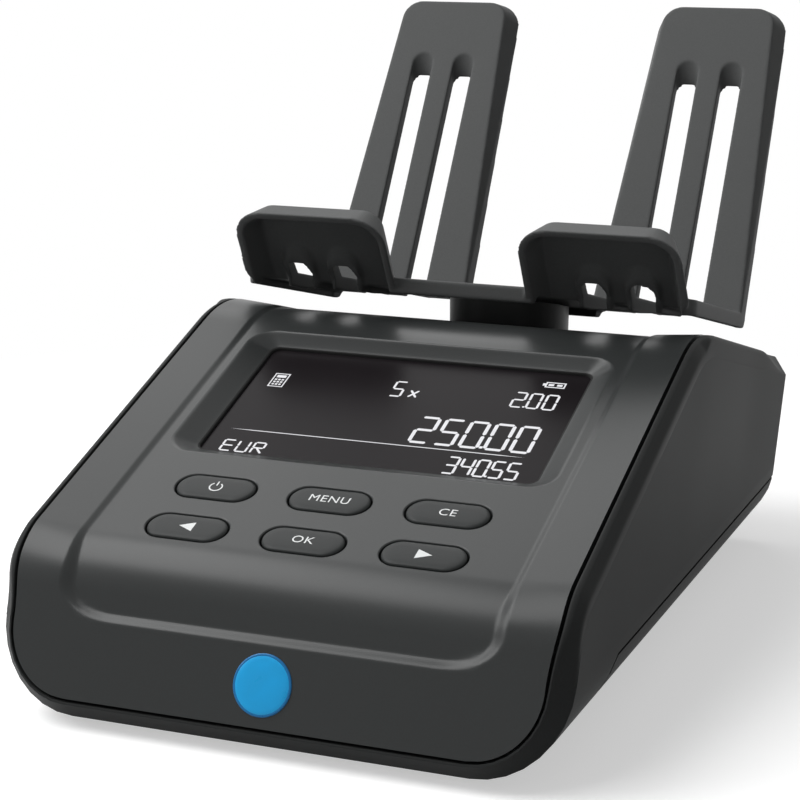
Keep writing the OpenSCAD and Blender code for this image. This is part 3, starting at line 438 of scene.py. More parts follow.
# %% Cover sheet
columns = [-1 + i * 0.02 for i in range(6)] + [-0.89 + i * 0.004 for i in range(32)]
columns += [-0.75 + i * 0.0375 for i in range(20)]
columns = columns + [0.0] + [-c for c in reversed(columns)]
sheet_points = []
for (p, a), t in zip(walk, travel):
    half = half_width(p, t)
    for c in columns:
        x = c * half
        sheet_points.append(on_profile(x, p, a, sunk(x, t)))
wide = len(columns)
sheet_faces = [(r * wide + i, r * wide + i + 1, (r + 1) * wide + i + 1, (r + 1) * wide + i)
               for r in range(len(walk) - 1) for i in range(wide - 1)]
cover = mesh_object("top_cover_shell", sheet_points, sheet_faces, cover_abs)
middle_face = min(cover.data.polygons, key=lambda f: (f.center - Vector((0, 0, 0.06))).length)
if middle_face.normal.z < 0:
    cover.data.flip_normals()
wall = cover.modifiers.new("wall", "SOLIDIFY")
wall.thickness = WALL * MM
wall.offset = -1
applied(cover)
print("cover sheet faces:", len(cover.data.polygons))

# %% [markdown]
# ## The panel's own frame
#
# The display and the keys lie on the sunk panel. A matrix carries points from
# panel coordinates, across, up the slope and out of it, to the object, so the
# pieces on the panel are modelled flat and then put in place.

# %% Panel frame and openings
DISPLAY_DOWN = 41.5
slope = math.radians(PANEL_SLOPE)
panel_point = RIDGE - heading(PANEL_SLOPE) * DISPLAY_DOWN + heading(PANEL_SLOPE - 90) * RECESS_D
PANEL = (Matrix.Translation(Vector((0, panel_point.x - MIDDLE, panel_point.y)) * MM)
         @ Matrix.Rotation(slope, 4, "X") @ Matrix.Scale(MM, 4))


def on_panel(ring, n, u=0, v=0):
    return [PANEL @ Vector((x + u, y + v, n)) for x, y in ring]


def prism(name, ring, low, high, u=0, v=0):
    points, faces = loft([on_panel(ring, low, u, v), on_panel(ring, high, u, v)], True, True)
    return mesh_object(name, points, faces, cover_abs)


KEY_L, KEY_W, KEY_GAP, RIM = 20.0, 9.0, 0.3, 0.45
KEY_PITCH, KEY_ROW, KEY_ROW_GAP = 29.1, 43.6, 16.2
key_names = ["key_power", "key_menu", "key_clear", "key_left", "key_ok", "key_right"]
key_places = [(c * KEY_PITCH, -KEY_ROW - r * KEY_ROW_GAP) for r in (0, 1) for c in (-1, 0, 1)]


def stadium(l, w):
    return round_rect(l / 2, w / 2, w / 2 - 1e-4)


WINDOW_W, WINDOW_H, WINDOW_R = 88.0, 49.6, 2.5
BEZEL = {"side": 6.0, "top": 3.4, "foot": 5.5}
POST_S, POST_HOLE_R = 172, 18.5
CUT_LOW, CUT_HIGH = -6, 4


def bezel_ring(k, r):
    half_w = WINDOW_W / 2 + BEZEL["side"] * k
    top = WINDOW_H / 2 + BEZEL["top"] * k
    foot = WINDOW_H / 2 + BEZEL["foot"] * k
    return round_rect(half_w, (top + foot) / 2, r, (0, (top - foot) / 2))


def circle(r, count):
    return [(r * math.cos(math.tau * i / count), r * math.sin(math.tau * i / count)) for i in range(count)]


cutters = [prism("cut_window", bezel_ring(1, 7.0), CUT_LOW, CUT_HIGH)]
key_hole = stadium(KEY_L + 2 * KEY_GAP + 2 * RIM, KEY_W + 2 * KEY_GAP + 2 * RIM)
cutters += [prism("cut_key", key_hole, CUT_LOW, CUT_HIGH, u, v) for u, v in key_places]
post_rings = [[Vector((x, y + POST_S - MIDDLE, z)) * MM for x, y in circle(POST_HOLE_R, 64)]
              for z in (40, 90)]
post_points, post_faces = loft(post_rings, True, True)
cutters.append(mesh_object("cut_post", post_points, post_faces, cover_abs))
cut(cover, cutters)
cover.data.shade_smooth()
cover.data.set_sharp_from_angle(angle=math.radians(25))
print("cover with openings:", len(cover.data.polygons), "faces")

# %% [markdown]
# ## Bezel and key rims
#
# The window sits at the bottom of a shallow funnel: wide bevels at the sides,
# a steep one at the top. Its edges are rounded, so it is lofted from rings,
# with a few close rings at each bend. The keys sit in holes with a softly
# rounded edge. That edge is the same six times, so it is made once and a
# Geometry Nodes tree puts it at each key's place.

# %% Bezel funnel
funnel_steps = [(1.0, 0.0), (0.93, -0.05), (0.86, -0.22), (0.75, -0.6), (0.45, -1.55), (0.2, -2.35),
                (0.08, -2.7), (0.02, -2.85)]
funnel_rings = [on_panel(bezel_ring(k, WINDOW_R + 4.5 * k), n) for k, n in funnel_steps]
points, faces = loft(funnel_rings)
bezel = mesh_object("bezel", points, faces, cover_abs, 60)
# The last upright ring down to the window is black rubber: painted shade for the shadowed inner wall
painted_shade_wall_steps = [(0.02, -2.85), (0.0, -2.9), (-0.03, -2.95), (-0.06, -3.1), (-0.06, -3.72)]
points, faces = loft([on_panel(bezel_ring(k, WINDOW_R), n) for k, n in painted_shade_wall_steps])
painted_shade_wall = mesh_object("window_gasket", points, faces, rubber, 60)
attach(painted_shade_wall, "housing")
print("bezel rings:", len(funnel_steps))

# %% Repeat one shape with a node tree
def repeat_tree(name):
    tree = bpy.data.node_groups.new(name, "GeometryNodeTree")
    tree.interface.new_socket("Geometry", in_out="INPUT", socket_type="NodeSocketGeometry")
    shape = tree.interface.new_socket("Shape", in_out="INPUT", socket_type="NodeSocketObject")
    size = tree.interface.new_socket("Size", in_out="INPUT", socket_type="NodeSocketFloat")
    finish = tree.interface.new_socket("Finish", in_out="INPUT", socket_type="NodeSocketMaterial")
    tree.interface.new_socket("Geometry", in_out="OUTPUT", socket_type="NodeSocketGeometry")
    source = add(tree, "NodeGroupInput")
    shape_in = add(tree, "GeometryNodeObjectInfo", {"Object": source.outputs["Shape"]},
                   transform_space="ORIGINAL")
    turned = add(tree, "GeometryNodeInputNamedAttribute", {"Name": "turn"}, data_type="FLOAT_VECTOR")
    grown = add(tree, "GeometryNodeInputNamedAttribute", {"Name": "grow"}, data_type="FLOAT_VECTOR")
    scaled = add(tree, "ShaderNodeVectorMath", {0: grown.outputs["Attribute"]}, operation="SCALE")
    tree.links.new(source.outputs["Size"], scaled.inputs["Scale"])
    spin = add(tree, "FunctionNodeEulerToRotation", {"Euler": turned.outputs["Attribute"]})
    placed = add(tree, "GeometryNodeInstanceOnPoints",
                 {"Points": source.outputs["Geometry"], "Instance": shape_in.outputs["Geometry"],
                  "Rotation": spin.outputs["Rotation"], "Scale": scaled.outputs["Vector"]})
    solid = add(tree, "GeometryNodeRealizeInstances", {"Geometry": placed.outputs["Instances"]})
    painted = add(tree, "GeometryNodeSetMaterial",
                  {"Geometry": solid.outputs["Geometry"], "Material": source.outputs["Finish"]})
    add(tree, "NodeGroupOutput", {"Geometry": painted.outputs["Geometry"]})
    return tree, {"Shape": shape.identifier, "Size": size.identifier, "Finish": finish.identifier}


REPEAT, REPEAT_IN = repeat_tree("repeat_shape_on_points")


def repeated(name, shape, places, turns, grows, finish, smooth_angle=35):
    mesh = bpy.data.meshes.new(name)
    mesh.from_pydata([tuple(p) for p in places], [], [])
    for label, values in (("turn", turns), ("grow", grows)):
        attribute = mesh.attributes.new(label, "FLOAT_VECTOR", "POINT")
        attribute.data.foreach_set("vector", [c for value in values for c in value])
    made = bpy.data.objects.new(name, mesh)
    bpy.context.scene.collection.objects.link(made)
    step = made.modifiers.new("repeat", "NODES")
    step.node_group = REPEAT
    step[REPEAT_IN["Shape"]] = shape
    step[REPEAT_IN["Size"]] = 1.0
    step[REPEAT_IN["Finish"]] = finish
    applied(made)
    bpy.data.objects.remove(shape)
    made.data.shade_smooth()
    made.data.set_sharp_from_angle(angle=math.radians(smooth_angle))
    return made


def flat(ring, n):
    return [Vector((x, y, n)) * MM for x, y in ring]


print("nodes in the repeat tree:", len(REPEAT.nodes))

# %% Key rims
rim_steps = [(RIM, 0.0), (0.55 * RIM, -0.06), (0.25 * RIM, -0.22), (0.07 * RIM, -0.5), (0.0, -0.9),
             (0.0, -2.2)]
rim_rings = [flat(stadium(KEY_L + 2 * (KEY_GAP + g), KEY_W + 2 * (KEY_GAP + g)), n) for g, n in rim_steps]
points, faces = loft(rim_rings)
rim_shape = mesh_object("key_rim", points, faces, cover_abs)
key_rims = repeated("key_rims", rim_shape, [PANEL @ Vector((u, v, 0)) for u, v in key_places],
                    [(slope, 0, 0)] * 6, [(1, 1, 1)] * 6, cover_abs, 60)
cover = join([cover, bezel, key_rims])
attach(cover, "housing")
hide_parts("top_cover")
print("cover triangles:", sum(len(f.vertices) - 2 for f in cover.data.polygons))

# %% [markdown]
# ## The display
#
# Behind the window a negative liquid crystal panel shows white characters on
# black. The window is a plain slab with a hair of rounding. The characters
# are seven-segment figures: every segment is the same small hexagon, so the
# figures are points with a turn and a length, and the node tree puts a
# segment on each. The window is made opaque, so the characters lie a hair
# above its face instead of behind it.

# %% Window
LENS_TOP, LENS_HIDDEN = -3.7, 2
lens_steps = [(0.0, -1.5), (0.0, -0.15), (-0.15, 0.0)]
lens_rings = [on_panel(round_rect(WINDOW_W / 2 + LENS_HIDDEN + g, WINDOW_H / 2 + LENS_HIDDEN + g,
                                  WINDOW_R + g), LENS_TOP + n)
              for g, n in lens_steps]
points, faces = loft(lens_rings, True, True)
window = mesh_object("display_window", points, faces, acrylic)
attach(window, "housing")
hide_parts("display_lens")
print("window:", WINDOW_W, "x", WINDOW_H, "mm in sight")

# %% Seven-segment figures
SEGMENTS = {"a": (0.5, 1.0, 0), "b": (1.0, 0.75, 90), "c": (1.0, 0.25, 90), "d": (0.5, 0.0, 0),
            "e": (0.0, 0.25, 90), "f": (0.0, 0.75, 90), "g": (0.5, 0.5, 0)}
FIGURES = {"0": "abcdef", "2": "abged", "3": "abgcd", "4": "fgbc", "5": "afgcd", "E": "afged", "U": "bcdef",
           "R": "eabfg"}
INK_N = LENS_TOP + 0.06
strokes = []


def write(text, u, v, height, width, thick, gap):
    for sign in text:
        if sign == ".":
            strokes.append((u - gap / 2, v + thick / 2, 0, thick, thick))
            continue
        for label in FIGURES[sign]:
            sx, sy, angle = SEGMENTS[label]
            long = (width if angle == 0 else height / 2) - 0.25 * thick
            strokes.append((u + sx * width, v + sy * height, angle, long, thick))
        if sign == "R":
            strokes.append((u + 0.7 * width, v + 0.25 * height, -50, 0.6 * height, thick))
        u += width + gap


write("250.00", 7.3, -11.4, 11.0, 4.5, 0.95, 1.95)
write("340.55", 19.7, -22.9, 6.8, 2.75, 0.65, 1.1)
write("2.00", 26.9, 7.9, 6.6, 2.8, 0.6, 1.3)
write("5", -5.0, 7.8, 6.7, 2.8, 0.6, 1.3)
write("EUR", -38.4, -23.0, 4.6, 2.8, 0.55, 1.3)
strokes.append((-1.1, -13.4, 0, 77.2, 0.3))
for tilt in (55, -55):
    strokes.append((1.0, 9.5, tilt, 3.9, 0.6))


def segment_ring(length, thick):
    tip = min(thick / 2, length / 2)
    half = length / 2
    upper = [(-half, 0), (-half + tip, thick / 2), (half - tip, thick / 2)]
    return upper + [(-x, -y) for x, y in upper]


# One segment, a metre long and a sixth as thick, is scaled to each place
UNIT, UNIT_SLIM = 1000, 6
unit = mesh_object("segment", flat(segment_ring(UNIT, UNIT / UNIT_SLIM), 0), [(0, 1, 2, 3, 4, 5)], lit)
places, turns, grows = [], [], []
tilt_up = Matrix.Rotation(slope, 3, "X")
for u, v, angle, length, thick in strokes:
    places.append(PANEL @ Vector((u, v, INK_N)))
    turns.append(tuple((tilt_up @ Matrix.Rotation(math.radians(angle), 3, "Z")).to_euler()))
    grows.append((length * MM, UNIT_SLIM * thick * MM, 1))
figures = repeated("display_figures", unit, places, turns, grows, lit)
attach(figures, "housing")
print("lit segments:", len(strokes))

# %% [markdown]
# Two small pictures complete the display: a calculator at the upper left and
# a battery gauge at the upper right. They are made of thin flat plates.

# %% Display pictures
def plates(name, boxes, n, material):
    points, faces = [], []
    for u0, v0, u1, v1 in boxes:
        at = len(points)
        points += [PANEL @ Vector((u, v, n)) for u, v in ((u0, v0), (u1, v0), (u1, v1), (u0, v1))]
        faces.append((at, at + 1, at + 2, at + 3))
    return mesh_object(name, points, faces, material)


def outline_boxes(u0, v0, u1, v1, t):
    return [(u0, v0, u1, v0 + t), (u0, v1 - t, u1, v1), (u0, v0, u0 + t, v1), (u1 - t, v0, u1, v1)]


calc = outline_boxes(-38.4, 7.0, -34.2, 13.4, 0.35) + [(-37.6, 11.4, -35.0, 12.6)]
calc += [(-37.6 + 0.95 * i, 7.9 + 1.1 * j, -36.95 + 0.95 * i, 8.6 + 1.1 * j)
         for i in range(3) for j in range(3)]
cell = outline_boxes(32.8, 17.9, 38.0, 20.4, 0.4) + [(32.1, 18.6, 32.8, 19.7), (33.6, 18.7, 35.0, 19.6),
                                                      (35.8, 18.7, 37.2, 19.6)]
pictures = plates("display_pictures", calc + cell, INK_N, lit)
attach(pictures, "housing")
print("plates in the pictures:", len(calc + cell))

# %% [markdown]
# ## The keys
#
# Each key is a flat stadium of satin plastic with a rounded edge and a very
# slightly crowned face, printed in white. It is lofted from stadium rings.
# The legends are flat text and small plates just above the face; they ride
# on the key, so they travel with it.

# %% Keys and legends
KEY_TOP, INK = 0.28, 0.03
LEGEND_SIZE = 3.6
LEGENDS = {"key_menu": "MENU", "key_clear": "CE", "key_ok": "OK"}


def key_mesh(name, u, v):
    steps = [(1.0, -3.6), (1.0, -2.6), (0.0, -2.6), (0.0, -0.6), (-0.05, -0.32), (-0.17, -0.1), (-0.36, 0.06),
             (-0.62, 0.16), (-1.0, 0.22), (-2.4, KEY_TOP)]
    rings = [on_panel(stadium(KEY_L + 2 * g, KEY_W + 2 * g), n, u, v) for g, n in steps]
    points, faces = loft(rings, True, True)
    return mesh_object(name + "_cap", points, faces, key_abs, 50)


def legend(name, text, size, u, v):
    words = bpy.data.curves.new(name, "FONT")
    words.body = text
    words.size = size
    words.align_x = "CENTER"
    words.align_y = "CENTER"
    words.space_character = 1.08
    words.resolution_u = 6
    holder = bpy.data.objects.new(name, words)
    bpy.context.scene.collection.objects.link(holder)
    bpy.context.view_layer.update()
    mesh = bpy.data.meshes.new_from_object(holder.evaluated_get(bpy.context.evaluated_depsgraph_get()))
    bpy.data.objects.remove(holder)
    mesh.transform(PANEL @ Matrix.Translation(Vector((u, v, KEY_TOP + INK))))
    made = bpy.data.objects.new(name, mesh)
    bpy.context.scene.collection.objects.link(made)
    mesh.materials.clear()
    mesh.materials.append(white_ink)
    return made


def arc_plate(r, t, start, end, count=28):
    ring = [((r + t / 2) * math.cos(a), (r + t / 2) * math.sin(a)) for a in
            (math.radians(start + (end - start) * i / count) for i in range(count + 1))]
    ring += [((r - t / 2) * math.cos(a), (r - t / 2) * math.sin(a)) for a in
             (math.radians(end - (end - start) * i / count) for i in range(count + 1))]
    faces = [(i, i + 1, 2 * count - i, 2 * count + 1 - i) for i in range(count)]
    return ring, faces


def printed(name, ring, faces, u, v):
    return mesh_object(name, on_panel(ring, KEY_TOP + INK, u, v), faces, white_ink)


def power_sign(u, v):
    ring, faces = arc_plate(1.55, 0.36, 125, 415)
    at = len(ring)
    ring += [(-0.18, 0.5), (0.18, 0.5), (0.18, 2.2), (-0.18, 2.2)]
    faces.append((at, at + 1, at + 2, at + 3))
    return printed("legend_power", ring, faces, u, v)


for name, (u, v) in zip(key_names, key_places):
    cap = key_mesh(name, u, v)
    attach(cap, name)
    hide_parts(name)
    if name == "key_power":
        sign = power_sign(u, v)
    elif name == "key_left":
        sign = printed("legend_left", [(-2.0, 0), (1.7, -1.7), (1.7, 1.7)], [(0, 1, 2)], u, v)
    elif name == "key_right":
        sign = printed("legend_right", [(2.0, 0), (-1.7, 1.7), (-1.7, -1.7)], [(0, 1, 2)], u, v)
    else:
        sign = legend("legend_" + name[4:], LEGENDS[name], LEGEND_SIZE, u, v)
    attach(sign, name)
print("keys:", len(key_names))

# %% [markdown]
# ## The badge
#
# A round blue badge sits in the front face. It is a low dome of resin with a
# deeper blue edge. A sphere would bulge too much, so both pieces are lofted
# from rings that set the low curve directly.

# %% Badge
BADGE_UP = 15.2
FACE = (Matrix.Translation(Vector((0, -MIDDLE, UNDER)) * MM)
        @ Matrix.Rotation(math.radians(90 - FRONT_LEAN), 4, "X")
        @ Matrix.Translation(Vector((0, BADGE_UP, 0)) * MM) @ Matrix.Scale(MM, 4))


def disc(name, steps, material):
    rings = [[FACE @ Vector((x, y, n)) for x, y in circle(r, 72)] for r, n in steps]
    points, faces = loft(rings, False, True)
    return mesh_object(name, points, faces, material, 50)


rim_curve = [(7.0, -0.5), (7.0, 0.12), (6.93, 0.24), (6.75, 0.3), (6.5, 0.32), (6.4, 0.3), (6.35, 0.2)]
dome_curve = [(6.42, 0.2), (6.4, 0.3), (6.2, 0.36), (5.5, 0.42), (4.0, 0.47), (2.0, 0.49), (0.2, 0.5)]
badge_rim = disc("badge_rim", rim_curve, resin_rim)
badge_face = disc("badge_face", dome_curve, resin_blue)
for piece in (badge_rim, badge_face):
    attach(piece, "housing")
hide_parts("badge")
print("badge:", 2 * rim_curve[0][0], "mm across")

# %% [markdown]
# ## Housing, underside, post and hatch
#
# These shells have true edges and rounded walls in the frame already. A copy
# of each is welded, its flat faces are merged, and a narrow bevel breaks the
# edges, as a moulding has no knife edges. Smooth shading then does the rest.

# %% Welded copies
def welded_copy(node, name, material, body, edge):
    made = bpy.data.objects.new(name, nodes[node].data.copy())
    bpy.context.scene.collection.objects.link(made)
    work = bmesh.new()
    work.from_mesh(made.data)
    bmesh.ops.remove_doubles(work, verts=work.verts, dist=2e-6)
    bmesh.ops.dissolve_limit(work, angle_limit=math.radians(0.4), verts=work.verts, edges=work.edges)
    work.to_mesh(made.data)
    work.free()
    made.data.materials.clear()
    made.data.materials.append(material)
    for polygon in made.data.polygons:
        polygon.material_index = 0
    bevel = made.modifiers.new("edge", "BEVEL")
    bevel.width = edge * MM
    bevel.segments = 2
    bevel.limit_method = "ANGLE"
    bevel.angle_limit = math.radians(32)
    applied(made)
    made.data.shade_smooth()
    made.data.set_sharp_from_angle(angle=math.radians(38))
    flat_first = made.modifiers.new("even", "WEIGHTED_NORMAL")
    flat_first.keep_sharp = True
    applied(made)
    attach(made, body)
    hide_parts(node)
    return made


housing = welded_copy("base_housing", "housing_shell", housing_abs, "housing", 0.35)
welded_copy("bottom_cover", "underside_shell", base_abs, "housing", 0.3)
welded_copy("load_post", "post_column", post_abs, "platform", 0.5)
welded_copy("battery_door", "battery_hatch", base_abs, "hatch", 0.3)
print("housing triangles:", sum(len(f.vertices) - 2 for f in housing.data.polygons))

# %% [markdown]
# ## The edge beside the cover
#
# Along the panel the housing's upper edge is a narrow raised strip, and a
# steep bevel falls from it to the side wall. Over the rear slope the bevel is
# gone and the wall runs up to a small rounding. A bevel modifier has one form
# all along, so a cross-section is swept along the profile instead, on both
# sides, and blends from one form to the other. At both ends it blends into
# the edge that the solid has there. Each form is a list of places across
# the housing and depths under the profile.

# %% Edge strips
STRIP = [(65.8, 2.4), (65.8, 0.4), (65.88, 0.16), (66.1, 0.05), (66.6, 0.2), (67.1, 0.42), (67.35, 0.62),
         (67.5, 0.9), (68.0, 1.5), (68.55, 2.2), (68.82, 2.65), (68.96, 3.1), (69.0, 3.6), (69.0, 5.6),
         (68.6, 6.4)]
REAR = [(65.8, 2.4), (65.8, 0.4), (65.88, 0.16), (66.1, 0.05), (66.6, 0.03), (67.1, 0.03), (67.5, 0.05),
        (67.8, 0.1), (68.2, 0.2), (68.55, 0.42), (68.82, 0.72), (68.96, 1.1), (69.0, 1.6), (69.0, 5.6),
        (68.6, 6.4)]
FOOT_FORM = [(64.4, 2.4), (64.4, 0.45), (64.5, 0.2), (64.7, 0.1), (64.9, 0.2), (65.3, 0.68), (65.8, 1.3),
             (66.3, 1.92), (66.8, 2.54), (67.4, 3.28), (68.0, 4.02), (68.5, 4.64), (68.85, 5.07),
             (68.95, 5.6), (68.6, 6.4)]
SEAM_IN, SEAM_OUT, SEAM_DEPTH, PRESS = 63.9, 65.9, 1.2, 2.4
PRESS_END = STRIP_END - 20
pressed_points = 0

# The rim of the solid's own opening is pressed down, out of the seam
for vertex in housing.data.vertices:
    place = Vector((vertex.co.y / MM + MIDDLE, vertex.co.z / MM))
    if SEAM_IN < abs(vertex.co.x / MM) < SEAM_OUT and START_Z < place.y and place.x < PRESS_END:
        near, a = min(walk, key=lambda step: (step[0] - place).length)
        if (place - near).dot(heading(a + 90)) > -SEAM_DEPTH:
            pressed = place - heading(a + 90) * PRESS
            vertex.co.y, vertex.co.z = (pressed.x - MIDDLE) * MM, pressed.y * MM
            pressed_points += 1


def strip_section(p, a, t):
    rear = ease((6 - a) / 10)
    for foot, strip, back in zip(FOOT_FORM, STRIP, REAR):
        yield Vector(foot).lerp(Vector(strip).lerp(Vector(back), rear), widened(p, t))


for side, name in ((-1, "edge_strip_left"), (1, "edge_strip_right")):
    rows = [[on_profile(side * x, p, a, depth) for x, depth in strip_section(p, a, t)]
            for (p, a), t in zip(walk, travel) if t >= strip_start and p.x <= STRIP_END]
    count = len(STRIP)
    quads = [(r * count + i, r * count + i + 1, (r + 1) * count + i + 1, (r + 1) * count + i)
             for r in range(len(rows) - 1) for i in range(count - 1)]
    strip = mesh_object(name, [q for row in rows for q in row], quads, housing_abs, 60)
    top = max(strip.data.polygons, key=lambda f: f.center.z)
    if top.normal.z < 0:
        strip.data.flip_normals()
    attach(strip, "housing")
print("edge strips: 2, points pressed out of the seam:", pressed_points)

# %% [markdown]
# ## The coin tray
#
# The tray is one deep moulding: two lips, a sloping floor and two tall
# supports, all with drafted rims, and slots with upright walls and collars.
# Some of its form is finer than the solid's: the slots climb higher on the
# lips, the collars get shallower towards the back, the rims end in rounded
# corners, and the floor is open at the back. So collars are added first, and
# the rest is cut away with prisms.

# %% Tray lines
LIP_FOOT, LIP_LEAN = Vector((139.642, 83.756)), 30.0
FLOOR_SLOPE = 13.1
FOOT_BACK = Vector((193.288, 66.972))
SUPPORT_LEAN = 32.3
SLOT_HALF, SLOT_COLLAR, SLOT_DEPTH = 3.15, 1.5, 4.0
SLOT_RISE = 13.2
SLOT_PLACES = [side * x for side in (-1, 1) for x in (35.2, 48.4)]
COLLAR_BACK, SLOT_BACK = 141.5, 146.0


def lip_height(s, out):
    lean, fall = math.radians(LIP_LEAN), math.radians(FLOOR_SLOPE)
    on_lip = LIP_FOOT.y - (out + math.cos(lean) * (s - LIP_FOOT.x)) / math.sin(lean)
    on_floor = LIP_FOOT.y - math.tan(fall) * (s - LIP_FOOT.x) - out / math.cos(fall)
    return max(on_lip, on_floor)


def slot_front(x, grow, back):
    start = LIP_FOOT.x - math.sin(math.radians(LIP_LEAN)) * (SLOT_RISE - SLOT_HALF)
    deep = SLOT_HALF * math.sin(math.radians(LIP_LEAN)) + grow
    arc = [math.radians(180 + 180 * i / 24) for i in range(25)]
    ring = [(x + (SLOT_HALF + grow) * math.cos(a), start + deep * math.sin(a)) for a in arc]
    return ring + [(x + SLOT_HALF + grow, back), (x - SLOT_HALF - grow, back)]


def between(name, ring, low, high):
    rings = [[Vector((x, s - MIDDLE, z(s))) * MM for x, s in ring] for z in (low, high)]
    points, faces = loft(rings, True, True)
    return mesh_object(name, points, faces, tray_abs)


def side_prism(name, outline, x0, x1):
    rings = [[Vector((x, p.x - MIDDLE, p.y)) * MM for p in outline] for x in (x0, x1)]
    points, faces = loft(rings, True, True)
    return mesh_object(name, points, faces, tray_abs)


print("slots:", len(SLOT_PLACES))

# %% Collars and cutters of the tray
collars = [between("collar", slot_front(x, SLOT_COLLAR, COLLAR_BACK), lambda s: lip_height(s, SLOT_DEPTH),
                   lambda s: lip_height(s, 0.4)) for x in SLOT_PLACES]
tray_cutters = [between("cut_slot", slot_front(x, 0, SLOT_BACK), lambda s: 40.0, lambda s: 130.0)
                for x in SLOT_PLACES]
CORNER_R = 3.4
rim_line, back_line = heading(-FLOOR_SLOPE), heading(90 - SUPPORT_LEAN)
half_corner = math.radians((180 - FLOOR_SLOPE - 90 + SUPPORT_LEAN) / 2)
corner_centre = FOOT_BACK + (back_line - rim_line).normalized() * CORNER_R / math.sin(half_corner)
corner = [corner_centre + heading(-90 - FLOOR_SLOPE + (90 + FLOOR_SLOPE - SUPPORT_LEAN) * i / 12) * CORNER_R
          for i in range(13)]
away_down, away_back = heading(-90 - FLOOR_SLOPE) * 4, heading(-SUPPORT_LEAN) * 4
corner += [corner[-1] + away_back, FOOT_BACK + away_back + away_down, corner[0] + away_down]
tray_cutters.append(side_prism("cut_corner", corner, -80, 80))
COLLAR_START, COLLAR_END, COLLAR_LOW = 146.0, 176.0, 2.3
BEHIND, BELOW = 200, 50
COLLAR_SIDES, BACK_SIDES = ((-60.2, -22), (22, 60.2)), ((-60.8, -21), (21, 60.8))
collar_line = [(COLLAR_START, SLOT_DEPTH), (COLLAR_END, COLLAR_LOW), (BEHIND, COLLAR_LOW)]
under_floor = [Vector((s, lip_height(s, out))) for s, out in collar_line]
under_floor += [Vector((BEHIND, BELOW)), Vector((COLLAR_START, BELOW))]
tray_cutters += [side_prism("cut_collars", under_floor, x0, x1) for x0, x1 in COLLAR_SIDES]
open_back = [Vector((184, 60)), Vector((200, 60)), Vector((200, 67.4)), Vector((184, 71.1))]
tray_cutters += [side_prism("cut_back", open_back, x0, x1) for x0, x1 in BACK_SIDES]
print("collars:", len(collars), "cutters:", len(tray_cutters))

# %% [markdown]
# The tray's edges meet at too many odd angles for a bevel. So the solid is
# melted a little instead: a voxel remesh rebuilds its skin in small even
# faces, and a few rounds of smoothing turn every edge into a soft one, as if
# the tool had been polished. A decimation then takes the points out of the
# flat faces, where they are not needed.

# %% Melted tray
VOXEL = 0.4
tray = bpy.data.objects.new("coin_tray_moulding", nodes["coin_tray"].data.copy())
bpy.context.scene.collection.objects.link(tray)
tray.data.materials.clear()
tray.data.materials.append(tray_abs)
for polygon in tray.data.polygons:
    polygon.material_index = 0
tidy_normals(tray, 35)
cut(tray, collars, "UNION")
cut(tray, tray_cutters)
skin = tray.modifiers.new("skin", "REMESH")
skin.mode = "VOXEL"
skin.voxel_size = VOXEL * MM
soft = tray.modifiers.new("soft", "SMOOTH")
soft.factor = 0.5
soft.iterations = 6
fewer = tray.modifiers.new("fewer", "DECIMATE")
fewer.ratio = 0.27
applied(tray)
tray.data.shade_smooth()
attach(tray, "tray")
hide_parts("coin_tray")
print("tray triangles:", sum(len(f.vertices) - 2 for f in tray.data.polygons))

# %% [markdown]
# ## Feet and screws
#
# Four rubber feet with a rounded rim and a ring groove carry the scale. The
# screws under it have pan heads with a cross recess; one head is modelled and
# the node tree repeats it over every screw.

# %% Feet
FOOT_X, FRONT_FEET, REAR_FEET = 41, 22, 196
foot_steps = [(5.95, 2.75), (6.0, 0.7), (5.85, 0.3), (5.5, 0.08), (5.0, 0.0), (4.3, 0.0), (4.1, 0.15),
              (3.9, 0.3), (3.5, 0.3), (3.3, 0.15), (3.1, 0.0), (0.3, 0.0)]
for node, x, s in (("foot_front_left", -FOOT_X, FRONT_FEET), ("foot_front_right", FOOT_X, FRONT_FEET),
                   ("foot_rear_left", -FOOT_X, REAR_FEET), ("foot_rear_right", FOOT_X, REAR_FEET)):
    rings = [[Vector((x + dx, s - MIDDLE + dy, z)) * MM for dx, dy in circle(r, 48)] for r, z in foot_steps]
    points, faces = loft(rings, True, True)
    foot = mesh_object(node + "_pad", points, faces, rubber, 40)
    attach(foot, "housing")
    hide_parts(node)
print("feet at", FRONT_FEET, "and", REAR_FEET, "mm from the front")

# %% Screw heads under the scale
head_steps = [(1.75, 0.0), (1.75, -0.55), (1.66, -0.85), (1.4, -1.08), (0.9, -1.2)]
points, faces = loft([flat(circle(r, 32), z) for r, z in head_steps], True, True)
head = mesh_object("screw_head", points, faces, steel, 40)
recesses = []
CROSS_L, CROSS_W = 0.95, 0.17
recess_ring = [(-CROSS_L, -CROSS_W), (CROSS_L, -CROSS_W), (CROSS_L, CROSS_W), (-CROSS_L, CROSS_W)]
for turned in (0, 90):
    bar = loft([flat(recess_ring, z) for z in (-1.6, -0.6)], True, True)
    slot_cut = mesh_object("recess", *bar, steel)
    slot_cut.data.transform(Matrix.Rotation(math.radians(turned), 4, "Z"))
    recesses.append(slot_cut)
cut(head, recesses)
HEAD_Z = 3.2
screw_places = [(x, s, 1.5) for s in (60, 178) for x in (-44, 44)] + [(0, 133, 2.0), (0, 145, 2.0)]
head_places = [Vector((x, s - MIDDLE, HEAD_Z)) * MM for x, s, r in screw_places]
head_turns = [(0, 0, 0.3 * k) for k in range(len(screw_places))]
heads = repeated("underside_screw_heads", head, head_places, head_turns,
                 [(r, r, 1) for x, s, r in screw_places], steel)
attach(heads, "housing")
print("screw heads:", len(screw_places))

# %% [markdown]
# ## Inside and behind
#
# What lies inside or in the rear recess keeps its solid and gets a finish of
# its own: milled aluminium for the load cell, steel for plates and screws,
# green board, black sockets and printed battery sleeves.

